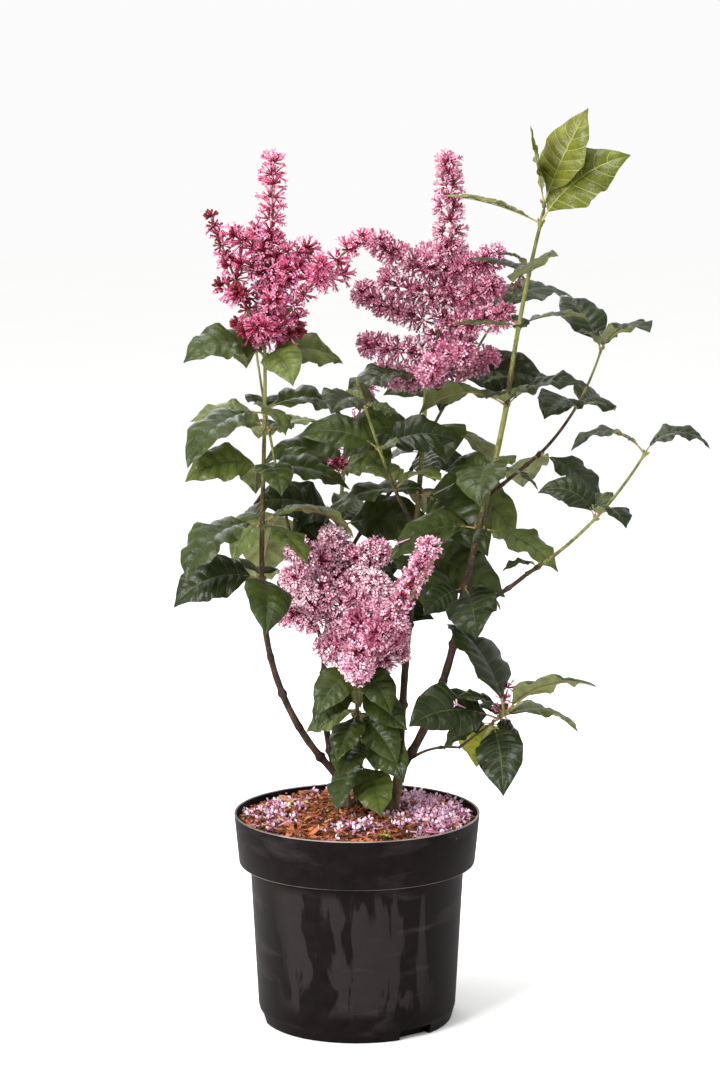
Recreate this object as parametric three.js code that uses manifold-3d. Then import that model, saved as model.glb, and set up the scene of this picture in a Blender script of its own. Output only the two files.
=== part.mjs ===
// A lilac bush of several stems in a round black nursery pot. Millimetres, +Z up.
// The origin is the centre of the pot's flat underside, and -Y is the side that it shows best.
import * as THREE from 'three';
import { mergeVertices } from 'three/addons/utils/BufferGeometryUtils.js';
import Module from 'manifold-3d';

const wasm = await Module();
wasm.setup();

// ---- Sizes of the pot and the compost ----
const POT_HEIGHT = 240;
const RIM_RADIUS = 140;
const COLLAR_HEIGHT = 57;
const COLLAR_FOOT_RADIUS = 134.5;
const BODY_TOP_RADIUS = 122;
const BODY_FOOT_RADIUS = 113;
const FOOT_RADIUS = 108.5;
const FOOT_HEIGHT = 16;
const WALL = 2.6;
const FLOOR = 3;
const DRAIN_GROOVE = { inner: 62, outer: 98, depth: 8, slope: 2, corner: 6 };
const DRAIN_HOLES = { count: 6, radius: 6, sides: 8 };
const FOOT_NOTCHES = { count: 3, first: -52.5, width: 43, height: 12, depth: 38 };
const RIM_EDGE = 1;
const POT_SIDES = 40;
const SOIL_HEIGHT = 240;
const SOIL_EDGE = { height: 232, width: 66 };
const CLEARANCE = 0.3;

// ---- Sizes of the stems and boughs ----
// Each limb is one arc. It sets off in a heading (0 is +X, 90 is +Y) at a lean from upright, and both
// change evenly along it, by turn and bend. thick is its diameter where it starts and where it ends.
// It starts at a foot on the compost, or on another limb at a fraction of that limb's length.
const LIMBS = {
  trunk_left: { foot: [-14, 25], heading: 194, turn: -25, lean: 9, bend: 12, length: 42,
    thick: [14.5, 12.5] },
  trunk_right: { foot: [40, 6], heading: -12, turn: 12, lean: 11, bend: 0, length: 51,
    thick: [12.5, 11.5] },
  front_stem: { foot: [3, 30], heading: -90, turn: 0, lean: 9, bend: 11, length: 49, thick: [6, 5.4] },
  left_stem: { from: 'trunk_left', at: 0.9, heading: -161, turn: 24, lean: 44, bend: -42, length: 248,
    thick: [8.5, 6.4] },
  back_stem: { from: 'trunk_left', at: 0.9, heading: 124, turn: -75, lean: 33, bend: -22, length: 238,
    thick: [8, 6] },
  middle_stem: { from: 'trunk_right', at: 0.9, heading: 81, turn: -23, lean: 12, bend: 0, length: 209,
    thick: [9, 7.4] },
  right_stem: { from: 'trunk_right', at: 0.9, heading: -23, turn: -11, lean: 33, bend: -24, length: 217,
    thick: [10, 8.4] },
  low_bough: { from: 'trunk_right', at: 0.97, heading: -51, turn: 10, lean: 47, bend: 40, length: 103,
    thick: [3.6, 2.8] },
  low_right_bough: { from: 'right_stem', at: 0.96, heading: -40, turn: -3, lean: 71, bend: -20, length: 108,
    thick: [5.6, 4.6] },
  back_bough: { from: 'back_stem', at: 0.92, heading: 43, turn: -23, lean: 29, bend: 20, length: 173,
    thick: [5, 4] },
  left_back_bough: { from: 'back_stem', at: 0.62, heading: 133, turn: 18, lean: 27, bend: -11, length: 146,
    thick: [4.8, 3.8] },
};
const FLARE = { height: 14, spread: 0.3 };
const TIP = { height: 0.5, width: 0.7 };
const LIMB_SIDES = 8;
const RINGS = 6;

// ---- Sizes of the leafy shoots ----
// A shoot goes on as a limb does, and carries pairs of leaves between the fractions low and high. The
// first pair looks along facing, and each next one is twisted on from it. A second, smaller pair, cross as
// large, is set across each. A leaf sets off at rise above level and ends at droop below it. leaf, rise
// and droop are given for the lowest pair and the highest, and crossRise lifts the youngest cross pairs.
const SHOOTS = {
  left_foliage: {
    from: 'left_stem', at: 1, heading: 15, turn: 84, lean: 0, bend: 6, length: 275, thick: [6.2, 3.6],
    pairs: 5, low: 0.04, high: 0.95, facing: 200, twist: 0, leaf: [120, 105], cross: 0.8,
    rise: [15, 30], droop: [65, 50], seed: 7877,
  },
  back_foliage: {
    from: 'back_stem', at: 1, heading: 63, turn: 10, lean: 17, bend: -7, length: 117, thick: [5.8, 4.4],
    pairs: 3, low: 0.04, high: 0.93, facing: 225, twist: 40, leaf: [125, 115], cross: 1,
    rise: [-10, 70], droop: [5, 55], seed: 9814,
  },
  front_foliage: {
    from: 'front_stem', at: 1, heading: -98, turn: 8, lean: 17, bend: 12, length: 160, thick: [5.3, 4],
    pairs: 5, low: 0.04, high: 0.86, facing: 150, twist: -90, leaf: [85, 80], cross: 1,
    rise: [-10, -10], droop: [50, 60], seed: 1725,
  },
  middle_foliage: {
    from: 'middle_stem', at: 1, heading: 80, turn: -66, lean: 11, bend: -9, length: 237,
    thick: [7.2, 4.8], pairs: 4, low: 0.19, high: 0.99, facing: 150, twist: 30, leaf: [125, 110],
    cross: 1, rise: [0, 40], droop: [50, 60], seed: 8629,
  },
  right_foliage: {
    from: 'right_stem', at: 1, heading: -38, turn: 66, lean: 14, bend: -2, length: 230, thick: [8.2, 6],
    pairs: 4, low: 0.08, high: 0.99, facing: 100, twist: 70, leaf: [115, 115], cross: 0.55,
    rise: [-10, 45], droop: [50, 35], seed: 2993,
  },
  top_foliage: {
    from: 'right_foliage', at: 1, heading: 28, turn: 5, lean: 8, bend: 9, length: 221,
    thick: [5.6, 3.8], pairs: 4, low: 0.14, high: 0.92, facing: 275, twist: 90, leaf: [70, 120],
    cross: 0.45, rise: [-10, 45], crossRise: 60, droop: [20, 0], seed: 3168,
  },
  tip_foliage: {
    from: 'top_foliage', at: 1, heading: 180, turn: 0, lean: 6, bend: 0, length: 8, thick: [3.6, 3],
    pairs: 1, low: 0.6, high: 0.6, facing: 10, twist: 0, leaf: [105, 105], cross: 0.3, rise: [80, 80],
    droop: [-60, -60], seed: 7353,
  },
  low_right_foliage: {
    from: 'low_right_bough', at: 1, heading: -39, turn: 11, lean: 59, bend: -28, length: 211,
    thick: [4.4, 2.8], pairs: 3, low: 0.08, high: 0.97, facing: 300, twist: 25, leaf: [70, 95],
    cross: 0.7, rise: [55, 70], droop: [35, 50], seed: 8811,
  },
  high_right_foliage: {
    from: 'high_right_bough', at: 1, heading: 43, turn: 12, lean: 61, bend: -29, length: 169,
    thick: [3.9, 2.6], pairs: 3, low: 0.04, high: 0.99, facing: 340, twist: 80, leaf: [100, 100],
    cross: 0.45, rise: [-10, 70], droop: [55, 5], seed: 3343,
  },
  far_foliage: {
    from: 'back_bough', at: 1, heading: 35, turn: -17, lean: 32, bend: 3, length: 248,
    thick: [3.9, 2.6], pairs: 3, low: 0.1, high: 0.85, facing: 85, twist: 75, leaf: [80, 125],
    cross: 0.95, rise: [-5, 65], droop: [45, 40], seed: 3304,
  },
  arching_foliage: {
    from: 'arching_bough', at: 1, heading: -111, turn: -9, lean: 47, bend: -19, length: 189,
    thick: [4, 2.8], pairs: 3, low: 0.11, high: 0.82, facing: 100, twist: 75, leaf: [80, 95],
    cross: 0.45, rise: [35, 10], droop: [10, 25], seed: 3777,
  },
  low_foliage: {
    from: 'low_bough', at: 1, heading: -49, turn: -1, lean: 55, bend: 2, length: 126, thick: [2.8, 2.2],
    pairs: 3, low: 0.51, high: 0.7, facing: 115, twist: 85, leaf: [115, 125], cross: 0.55,
    rise: [-10, 65], droop: [65, 0], seed: 9878,
  },
  left_back_foliage: {
    from: 'left_back_bough', at: 1, heading: 145, turn: 29, lean: 15, bend: -8, length: 236,
    thick: [3.7, 2.6], pairs: 3, low: 0.1, high: 0.91, facing: 105, twist: 75, leaf: [125, 70],
    cross: 0.85, rise: [-10, 70], droop: [65, 5], seed: 1357,
  },
};
const SIDE_BOUGHS = {
  high_right_bough: { from: 'right_foliage', at: 0.54, heading: 44, turn: 9, lean: 64, bend: 7, length: 95,
    thick: [4.6, 4] },
  arching_bough: { from: 'middle_foliage', at: 0.21, heading: -92, turn: -31, lean: 45, bend: 1, length: 85,
    thick: [4.6, 4.2] },
};
const YOUNG = ['top_foliage', 'tip_foliage'];
const SHOOT_SIDES = 4;

// ---- Sizes of a leaf ----
const LEAF = {
  width: 0.52,
  thickness: 0.02,
  lightTilt: 24,
  spread: { heading: 36, rise: 36, length: 0.26, roll: 70, sweep: 50 },
};
const LEAF_OUTLINE = [[0, 0.06], [0.13, 0.06], [0.38, 0.96], [0.7, 0.8], [1, 0]];
const BLADE_TESTS = { along: [0.3, 0.4, 0.5, 0.6, 0.7, 0.8, 0.9, 1], across: [-1, -0.5, 0, 0.5, 1] };
const LEAF_GAP = 7;
const SWINGS = [0, 22, -22, 44, -44];

// ---- Sizes of the blossom ----
// A panicle is an axis with whorls of three arms up to its shoulder. The lowest arms are as long as reach,
// and the ones above are shorter, by up to the share given as cone. Florets stand out from an arm to the
// radius given as head. Past the shoulder they sit on the axis itself, out to the radius given as tip.
const PANICLES = {
  left_bud_arm: {
    from: 'left_foliage', at: 0.98, heading: -175, turn: 0, lean: 23, bend: -2, length: 158, whorls: 2,
    reach: 38, cone: 0.7, shoulder: 0.64, head: 16, tip: 14, seed: 67, rose: true,
  },
  left_rose_arm: {
    from: 'left_foliage', at: 1, heading: -24, turn: 0, lean: 37, bend: 14, length: 168, whorls: 2,
    reach: 38, cone: 0, shoulder: 0.88, head: 15, tip: 13, seed: 909, rose: true,
  },
  left_panicle: {
    from: 'left_foliage', at: 1, heading: 60, turn: 0, lean: 8, bend: -4, length: 200, whorls: 6,
    reach: 44, cone: 0.1, shoulder: 0.56, head: 17, tip: 18, seed: 914, rose: true,
  },
  small_panicle: {
    from: 'back_foliage', at: 1, heading: 60, turn: 0, lean: 24, bend: 17, length: 128, whorls: 2,
    reach: 18, cone: 0.5, shoulder: 0.68, head: 12, tip: 12, seed: 505, rose: true,
  },
  middle_panicle: {
    from: 'middle_foliage', at: 1, heading: 52, turn: 0, lean: 26, bend: -28, length: 250, whorls: 5,
    reach: 79, cone: 0, shoulder: 0.6, head: 17, tip: 23, seed: 769,
  },
  front_side_arm: {
    from: 'front_foliage', at: 1, heading: -54, turn: 0, lean: 60, bend: -22, length: 190, whorls: 2,
    reach: 42, cone: 0.8, shoulder: 0.4, head: 20, tip: 14, seed: 583,
  },
  front_panicle: {
    from: 'front_foliage', at: 0.9, heading: 106, turn: 12, lean: 51, bend: -40, length: 154, whorls: 6,
    reach: 54, cone: 0.2, shoulder: 0.88, head: 25, tip: 17, seed: 906,
  },
  far_bud: {
    from: 'far_foliage', at: 1, heading: 20, turn: 0, lean: 30, bend: -10, length: 30, whorls: 0,
    reach: 0, cone: 0, shoulder: 0.2, head: 13, tip: 10, seed: 38, rose: true,
  },
  low_bud: {
    from: 'low_foliage', at: 0.62, heading: 60, turn: 0, lean: 40, bend: -10, length: 36, whorls: 0,
    reach: 0, cone: 0, shoulder: 0.2, head: 13, tip: 12, seed: 39, rose: true,
  },
};
const ARMS_IN_WHORL = 3;
const SHORTENED = [1, 0.75, 0.5];
const ARM = {
  first: 0.3,
  lean: 86,
  bend: -18,
  rise: 0.35,
  spread: { heading: 40, lean: 20, length: 0.25 },
  tests: [0.5, 0.8, 1],
  gap: 2,
  keep: 0.5,
};
const CLUSTER = { row: 20, from: 0.34, to: 0.96, core: 10, point: 0.6 };
const STAR_POINTS = 6;
const AXIS_THICK = [4, 1.8];
const AXIS_SIDES = 4;
const GOLDEN_ANGLE = 137.5;

// ---- Finishes ----
const finish = (color, roughness) => new THREE.MeshStandardMaterial({ color, roughness, metalness: 0 });
const BLACK_PLASTIC = finish(0x26262a, 0.6);
const BARK_COMPOST = finish(0x7a4524, 0.95);
const BROWN_BARK = finish(0x4c3a33, 0.85);
const DARK_LEAF = finish(0x2c4a2c, 0.5);
const YOUNG_LEAF = finish(0x7f9350, 0.5);
const ROSE_BLOSSOM = finish(0xb9558c, 0.7);
const PALE_BLOSSOM = finish(0xdba6cc, 0.7);

// ---- Numbers and directions ----
const radians = THREE.MathUtils.degToRad;

function seededNumbers(seed) {
  let state = seed;
  return () => {
    state = (Math.imul(state, 1664525) + 1013904223) >>> 0;
    return state / 2 ** 32;
  };
}

function direction(heading, lean) {
  const [h, l] = [radians(heading), radians(lean)];
  return new THREE.Vector3(Math.cos(h) * Math.sin(l), Math.sin(h) * Math.sin(l), Math.cos(l));
}

const STEPS = 24;

function centreLine(start, arc) {
  const line = [start.clone()];
  for (let i = 0; i < STEPS; i += 1) {
    const part = (i + 0.5) / STEPS;
    const onward = direction(arc.heading + arc.turn * part, arc.lean + arc.bend * part);
    line.push(line[i].clone().addScaledVector(onward, arc.length / STEPS));
  }
  return line;
}

function pointAlong(line, fraction) {
  const place = Math.min(fraction, 0.999999) * STEPS;
  const i = Math.floor(place);
  return line[i].clone().lerp(line[i + 1], place - i);
}

function onwardAt(line, i) {
  return line[Math.min(i + 1, STEPS)].clone().sub(line[Math.max(i - 1, 0)]).normalize();
}

// ---- Solids ----
function solidOf(vertices, triangles) {
  return new wasm.Manifold(new wasm.Mesh({
    numProp: 3,
    vertProperties: new Float32Array(vertices),
    triVerts: new Uint32Array(triangles),
  }));
}

function solidFromGeometry(geometry) {
  geometry.deleteAttribute('normal');
  geometry.deleteAttribute('uv');
  const merged = mergeVertices(geometry, 1e-4);
  return solidOf(merged.attributes.position.array, merged.index.array);
}

// A closed skin over rings of points, each ring anticlockwise seen from the end. A ring may be one point.
function loft(rings) {
  const vertices = rings.flat().flatMap((point) => point.toArray());
  const triangles = [];
  let first = 0;
  rings.slice(0, -1).forEach((ring, r) => {
    const [near, far] = [ring.length, rings[r + 1].length];
    const next = first + near;
    for (let i = 0; i < Math.max(near, far); i += 1) {
      const j = (i + 1) % Math.max(near, far);
      if (near > 1) {
        triangles.push(first + i, first + j, next + (far > 1 ? j : 0));
      }
      if (far > 1) {
        triangles.push(first + (near > 1 ? i : 0), next + j, next + i);
      }
    }
    first = next;
  });
  for (let i = 1; i < rings[0].length - 1; i += 1) {
    triangles.push(0, i + 1, i);
  }
  for (let i = 1; i < rings.at(-1).length - 1; i += 1) {
    triangles.push(first, first + i, first + i + 1);
  }
  return solidOf(vertices, triangles);
}

function ringRound(centre, onward, radius, sides) {
  const across = new THREE.Vector3(1, 0, 0).addScaledVector(onward, -onward.x).normalize();
  const up = onward.clone().cross(across);
  return Array.from({ length: sides }, (_, i) => {
    const turn = (2 * Math.PI * i) / sides;
    const point = centre.clone().addScaledVector(across, radius * Math.cos(turn));
    return point.addScaledVector(up, radius * Math.sin(turn));
  });
}

function keepLargest(solid) {
  return solid.decompose().reduce((best, piece) => (piece.volume() > best.volume() ? piece : best));
}

const boxesMeet = (a, b) => [0, 1, 2].every((k) => a.min[k] < b.max[k] && b.min[k] < a.max[k]);

function meetsAny(solid, others) {
  const box = solid.boundingBox();
  return others.some((other) => boxesMeet(box, other.box) && !solid.intersect(other.solid).isEmpty());
}

// ---- The plant so far: its limbs, and the places that are taken ----
const limbs = {};
const taken = [];
const bush = new THREE.Group();

function addPart(name, solid, root, material) {
  const body = keepLargest(solid);
  const { vertProperties, triVerts } = body.getMesh();
  const geometry = new THREE.BufferGeometry();
  geometry.setAttribute('position', new THREE.BufferAttribute(vertProperties, 3));
  geometry.setIndex(new THREE.BufferAttribute(triVerts, 1));
  geometry.translate(-root.x, -root.y, -root.z);
  geometry.computeVertexNormals();
  const mesh = new THREE.Mesh(geometry, material);
  mesh.name = name;
  mesh.position.copy(root);
  bush.add(mesh);
}

function isClear(points, gap, owner) {
  const isFar = (spot) => points.every((point) => point.distanceTo(spot.point) > gap + spot.radius);
  return taken.every((spot) => spot.owner === owner || isFar(spot));
}

function isAbovePot({ x, y, z }) {
  return z > SOIL_HEIGHT + LEAF_GAP || Math.hypot(x, y) > RIM_RADIUS + LEAF_GAP;
}

// ---- The pot ----
function bodyRadiusAt(height) {
  const share = (height - FOOT_HEIGHT) / (POT_HEIGHT - COLLAR_HEIGHT - FOOT_HEIGHT);
  return BODY_FOOT_RADIUS + (BODY_TOP_RADIUS - BODY_FOOT_RADIUS) * share;
}

function insideProfile(gap) {
  const { inner, outer, depth, corner } = DRAIN_GROOVE;
  const shoulder = POT_HEIGHT - COLLAR_HEIGHT + WALL + gap;
  const skin = WALL + gap;
  return [
    [0, FLOOR + gap],
    [inner - skin, FLOOR + gap],
    [inner - gap, FLOOR + depth + gap],
    [outer + corner, FLOOR + depth + gap],
    [BODY_FOOT_RADIUS - skin, FOOT_HEIGHT + gap],
    [BODY_TOP_RADIUS - skin, shoulder],
    [COLLAR_FOOT_RADIUS - skin, shoulder],
    [RIM_RADIUS - skin, POT_HEIGHT],
  ];
}

function lathed(profile) {
  const points = profile.map(([radius, height]) => new THREE.Vector2(radius, height));
  return solidFromGeometry(new THREE.LatheGeometry(points, POT_SIDES).rotateX(Math.PI / 2));
}

function makePot() {
  const { inner, outer, depth, slope } = DRAIN_GROOVE;
  const outside = [
    [0, 0],
    [inner, 0],
    [inner + slope, depth],
    [outer - slope, depth],
    [outer, 0],
    [FOOT_RADIUS, 0],
    [BODY_FOOT_RADIUS, FOOT_HEIGHT],
    [BODY_TOP_RADIUS, POT_HEIGHT - COLLAR_HEIGHT],
    [COLLAR_FOOT_RADIUS, POT_HEIGHT - COLLAR_HEIGHT],
    [RIM_RADIUS, POT_HEIGHT - RIM_EDGE],
    [RIM_RADIUS - RIM_EDGE, POT_HEIGHT],
  ];
  let pot = lathed([...outside, ...insideProfile(0).reverse()]);
  for (let i = 0; i < FOOT_NOTCHES.count; i += 1) {
    const { count, first, width, height, depth: reach } = FOOT_NOTCHES;
    const notch = new THREE.BoxGeometry(reach, width, 2 * height);
    notch.translate(outer + reach / 2, 0, 0).rotateZ(radians(first + (i * 360) / count));
    pot = pot.subtract(solidFromGeometry(notch));
  }
  for (let i = 0; i < DRAIN_HOLES.count; i += 1) {
    const { radius, sides } = DRAIN_HOLES;
    const hole = new THREE.CylinderGeometry(radius, radius, 4 * depth, sides);
    hole.rotateX(Math.PI / 2).translate((inner + outer) / 2, 0, 0);
    hole.rotateZ(radians(((i + 0.5) * 360) / DRAIN_HOLES.count));
    pot = pot.subtract(solidFromGeometry(hole));
  }
  return pot;
}

function makeCompost() {
  const below = insideProfile(CLEARANCE).slice(0, -1);
  const wallSlope = (RIM_RADIUS - COLLAR_FOOT_RADIUS) / COLLAR_HEIGHT;
  const edge = RIM_RADIUS - WALL - CLEARANCE - (POT_HEIGHT - SOIL_EDGE.height) * wallSlope;
  const top = [[edge, SOIL_EDGE.height], [edge - SOIL_EDGE.width, SOIL_HEIGHT], [0, SOIL_HEIGHT]];
  return lathed([...below, ...top]);
}

// ---- Limbs ----
function thickAt(size, share) {
  const [foot, tip] = size.thick ?? AXIS_THICK;
  return foot + (tip - foot) * share;
}

function layLimb(name, size) {
  const start = size.foot
    ? new THREE.Vector3(size.foot[0], size.foot[1], SOIL_HEIGHT + CLEARANCE)
    : pointAlong(limbs[size.from].line, size.at ?? 1);
  const line = centreLine(start, size);
  limbs[name] = { line, size };
  line.forEach((point, i) => {
    taken.push({ point, radius: thickAt(size, i / STEPS) / 2, owner: name });
  });
}

// The limb's skin, grown outward by a margin where another piece is to be cut clear of it.
function limbSolid(name, sides, margin = 0) {
  const { line, size } = limbs[name];
  const rings = [];
  for (let r = 0; r <= RINGS; r += 1) {
    const i = (r * STEPS) / RINGS;
    const flare = size.foot ? FLARE.spread * Math.exp((-size.length * i) / STEPS / FLARE.height) : 0;
    const radius = (thickAt(size, i / STEPS) / 2) * (1 + flare) + margin;
    const onward = size.foot && r === 0 ? new THREE.Vector3(0, 0, 1) : onwardAt(line, i);
    rings.push(ringRound(line[i], onward, radius, sides));
  }
  const endward = onwardAt(line, STEPS);
  const endRadius = thickAt(size, 1) / 2 + margin;
  const beyond = line[STEPS].clone().addScaledVector(endward, endRadius * TIP.height);
  rings.push(ringRound(beyond, endward, endRadius * TIP.width, sides));
  return loft(rings);
}

// ---- Leaves ----
function outlineAt(share) {
  const next = Math.max(1, LEAF_OUTLINE.findIndex(([t]) => t >= share));
  const [[t0, w0], [t1, w1]] = [LEAF_OUTLINE[next - 1], LEAF_OUTLINE[next]];
  return w0 + ((w1 - w0) * (share - t0)) / (t1 - t0);
}

function midrib({ root, heading, sweep, rise, droop, length }) {
  return centreLine(root, { heading, turn: sweep, lean: 90 - rise, bend: rise + droop, length });
}

// The point on a blade at a share of its length, set off to its left by a share of its half width.
function bladeFrame(leaf, line, share) {
  const onward = onwardAt(line, Math.round(share * STEPS));
  const level = direction(leaf.heading + leaf.sweep * share + 90, 90).projectOnPlane(onward).normalize();
  const left = level.applyAxisAngle(onward, radians(leaf.roll));
  return { centre: pointAlong(line, share), left, up: onward.clone().cross(left) };
}

function bladePoints(leaf) {
  const line = midrib(leaf);
  const points = [];
  for (const share of BLADE_TESTS.along) {
    const { centre, left } = bladeFrame(leaf, line, share);
    const half = (outlineAt(share) * LEAF.width * leaf.length) / 2;
    for (const side of BLADE_TESTS.across) {
      points.push(centre.clone().addScaledVector(left, side * half));
    }
  }
  return points;
}

// A leaf is flat above and keeled below, and its petiole is sunk in the shoot.
function leafSolid(leaf) {
  const line = midrib(leaf);
  return loft(LEAF_OUTLINE.map(([share, width]) => {
    const { centre, left, up } = bladeFrame(leaf, line, share);
    const half = (width * LEAF.width * leaf.length) / 2;
    const keel = centre.clone().addScaledVector(up, -LEAF.thickness * leaf.length);
    const edges = [-1, 1].map((side) => centre.clone().addScaledVector(left, side * half));
    return width === 0 ? [centre] : [edges[0], keel, edges[1]];
  }));
}

function leavesOf(name) {
  const { line, size } = limbs[name];
  const draw = seededNumbers(size.seed);
  const vary = (range) => (draw() - 0.5) * range;
  const leaves = [];
  for (let pair = 0; pair < size.pairs; pair += 1) {
    const share = pair / Math.max(1, size.pairs - 1);
    const root = pointAlong(line, size.low + (size.high - size.low) * share);
    const between = ([lowest, highest]) => lowest + (highest - lowest) * share;
    for (const [turn, scale] of [[0, 1], [180, 1], [90, size.cross], [270, size.cross]]) {
      const heading = size.facing + size.twist * pair + turn + vary(LEAF.spread.heading);
      const crosses = turn % 180 !== 0 && 'crossRise' in size;
      leaves.push({
        root,
        heading,
        rise: between(size.rise) + (crosses ? share * size.crossRise : 0) + vary(LEAF.spread.rise),
        droop: between(size.droop) + vary(LEAF.spread.rise),
        length: between(size.leaf) * scale * (1 + vary(LEAF.spread.length)),
        roll: LEAF.lightTilt * Math.cos(radians(heading)) + vary(LEAF.spread.roll),
        sweep: vary(LEAF.spread.sweep),
      });
    }
  }
  return leaves;
}

// The leaf as it can grow, swung round where its first place is taken, or nothing.
function roomFor(leaf) {
  for (const swing of SWINGS) {
    const swung = { ...leaf, heading: leaf.heading + swing };
    const points = bladePoints(swung);
    if (points.every(isAbovePot) && isClear(points, LEAF_GAP)) {
      points.forEach((point) => taken.push({ point, radius: 0, owner: 'leaf' }));
      return swung;
    }
  }
  return null;
}

// ---- Blossom ----
function armsOf(name) {
  const { line, size } = limbs[name];
  const draw = seededNumbers(size.seed);
  const arms = [];
  for (let whorl = 0; whorl < size.whorls; whorl += 1) {
    const share = (size.shoulder * (whorl + ARM.first)) / size.whorls;
    const reach = size.reach * (1 - (size.cone * whorl) / size.whorls);
    for (let i = 0; i < ARMS_IN_WHORL; i += 1) {
      arms.push({
        start: pointAlong(line, share),
        heading: GOLDEN_ANGLE * whorl + (360 * i) / ARMS_IN_WHORL + ARM.spread.heading * draw(),
        turn: 0,
        lean: ARM.lean * (1 - ARM.rise * share) + ARM.spread.lean * draw(),
        bend: ARM.bend,
        length: reach * (1 + ARM.spread.length * (2 * draw() - 1)),
        head: size.head,
      });
    }
  }
  arms.push({
    start: pointAlong(line, size.shoulder),
    heading: size.heading + size.turn,
    turn: 0,
    lean: size.lean + size.bend,
    bend: 0,
    length: size.length * (1 - size.shoulder),
    head: size.tip,
  });
  return arms;
}

// The arm as it can grow, shortened where something else is in its way, or nothing.
function roomForArm(arm, name) {
  for (const share of SHORTENED) {
    const shorter = { ...arm, length: arm.length * share };
    const line = centreLine(shorter.start, shorter);
    const points = ARM.tests.map((part) => pointAlong(line, part));
    if (isClear(points, ARM.gap, name)) {
      points.forEach((point) => taken.push({ point, radius: arm.head * ARM.keep, owner: name }));
      return shorter;
    }
  }
  return null;
}

// The florets of an arm stand out all round it in rows, as the points of stars on a slimmer core.
function armSolid(arm) {
  const line = centreLine(arm.start, arm);
  const { length, head } = arm;
  const rows = Math.max(2, Math.round(length / CLUSTER.row));
  const rings = [[line[0]]];
  for (let row = 0; row < rows; row += 1) {
    const share = CLUSTER.from + ((CLUSTER.to - CLUSTER.from) * row) / (rows - 1);
    const [centre, onward] = [pointAlong(line, share), onwardAt(line, Math.round(share * STEPS))];
    const inner = ringRound(centre, onward, CLUSTER.core / 2, STAR_POINTS);
    const outer = ringRound(centre, onward, head, STAR_POINTS);
    rings.push(outer.map((point, i) => (i % 2 === row % 2 ? point : inner[i])));
  }
  rings.push([line[STEPS].clone().addScaledVector(onwardAt(line, STEPS), head * CLUSTER.point)]);
  return loft(rings);
}

// ---- Putting the bush together ----
const STEMS = { ...LIMBS, ...SHOOTS, ...SIDE_BOUGHS, ...PANICLES };
const sidesOf = (name) => (name in SHOOTS ? SHOOT_SIDES : name in PANICLES ? AXIS_SIDES : LIMB_SIDES);

function layStem(name) {
  const size = STEMS[name];
  if (name in limbs) {
    return;
  }
  if (size.from) {
    layStem(size.from);
  }
  layLimb(name, size);
}

const boxed = (solid) => ({ solid, box: solid.boundingBox() });

const ground = [makePot(), makeCompost()];
addPart('pot', ground[0], new THREE.Vector3(), BLACK_PLASTIC);
addPart('compost', ground[1], new THREE.Vector3(), BARK_COMPOST);

Object.keys(STEMS).forEach(layStem);
const stems = {};
for (const name of Object.keys(limbs)) {
  const whole = limbSolid(name, sidesOf(name));
  const box = whole.boundingBox();
  const cut = Object.keys(stems)
    .filter((other) => boxesMeet(box, limbSolid(other, sidesOf(other), CLEARANCE).boundingBox()))
    .reduce((rest, other) => rest.subtract(limbSolid(other, sidesOf(other), CLEARANCE)), whole);
  stems[name] = boxed(keepLargest(cut));
}
const stemsBut = (name) => Object.entries(stems).filter(([other]) => other !== name).map(([, stem]) => stem);

const masses = Object.fromEntries(Object.keys(stems).map((name) => [name, [stems[name].solid]]));
const grown = ground.map(boxed);
for (const name of Object.keys(PANICLES)) {
  const others = [...stemsBut(name), ...grown];
  const lengths = (arm) => SHORTENED.map((share) => ({ ...arm, length: arm.length * share }));
  for (const arm of armsOf(name).map((each) => roomForArm(each, name)).filter(Boolean)) {
    const solid = lengths(arm).map(armSolid).find((each) => !meetsAny(each, others));
    if (solid) {
      masses[name].push(solid);
    }
  }
  grown.push(...masses[name].slice(1).map(boxed));
}
for (const name of Object.keys(SHOOTS)) {
  const others = [...stemsBut(name), ...grown];
  const leaves = leavesOf(name).map(roomFor).filter(Boolean).map(leafSolid);
  masses[name].push(...leaves.filter((leaf) => !meetsAny(leaf, others)));
  grown.push(...masses[name].slice(1).map(boxed));
}

function materialOf(name) {
  if (name in PANICLES) {
    return PANICLES[name].rose ? ROSE_BLOSSOM : PALE_BLOSSOM;
  }
  if (name in SHOOTS) {
    return YOUNG.includes(name) ? YOUNG_LEAF : DARK_LEAF;
  }
  return BROWN_BARK;
}

for (const name of Object.keys(stems)) {
  const whole = masses[name].reduce((sum, piece) => sum.add(piece));
  addPart(name, whole, limbs[name].line[0], materialOf(name));
}

export default bush;
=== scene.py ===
import math

import bpy
import numpy as np
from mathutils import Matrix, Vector


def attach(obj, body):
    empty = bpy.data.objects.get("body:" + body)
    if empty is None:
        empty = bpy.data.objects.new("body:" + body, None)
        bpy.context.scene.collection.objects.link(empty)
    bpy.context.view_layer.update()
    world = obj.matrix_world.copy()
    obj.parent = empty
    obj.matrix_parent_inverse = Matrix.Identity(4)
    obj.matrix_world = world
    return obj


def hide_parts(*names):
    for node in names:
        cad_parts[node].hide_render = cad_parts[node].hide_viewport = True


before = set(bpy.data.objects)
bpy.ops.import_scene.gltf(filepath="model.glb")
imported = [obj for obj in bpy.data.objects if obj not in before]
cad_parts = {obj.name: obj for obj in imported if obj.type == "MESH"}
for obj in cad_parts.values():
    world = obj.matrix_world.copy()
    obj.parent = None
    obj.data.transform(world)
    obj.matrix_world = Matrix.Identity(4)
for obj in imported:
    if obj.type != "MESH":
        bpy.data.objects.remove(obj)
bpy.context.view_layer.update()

# ---- The studio ----
# A large matt floor in off-white, lit by a soft box high on the left, a wide one overhead, a weaker one on
# the right and another behind, with an even white room around them.
MM = 0.001
CAMERA_PLACE = (0.0034, -3.338, 1.072)
CAMERA_DOWN = 8.83
CAMERA_LENS = 100
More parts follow.
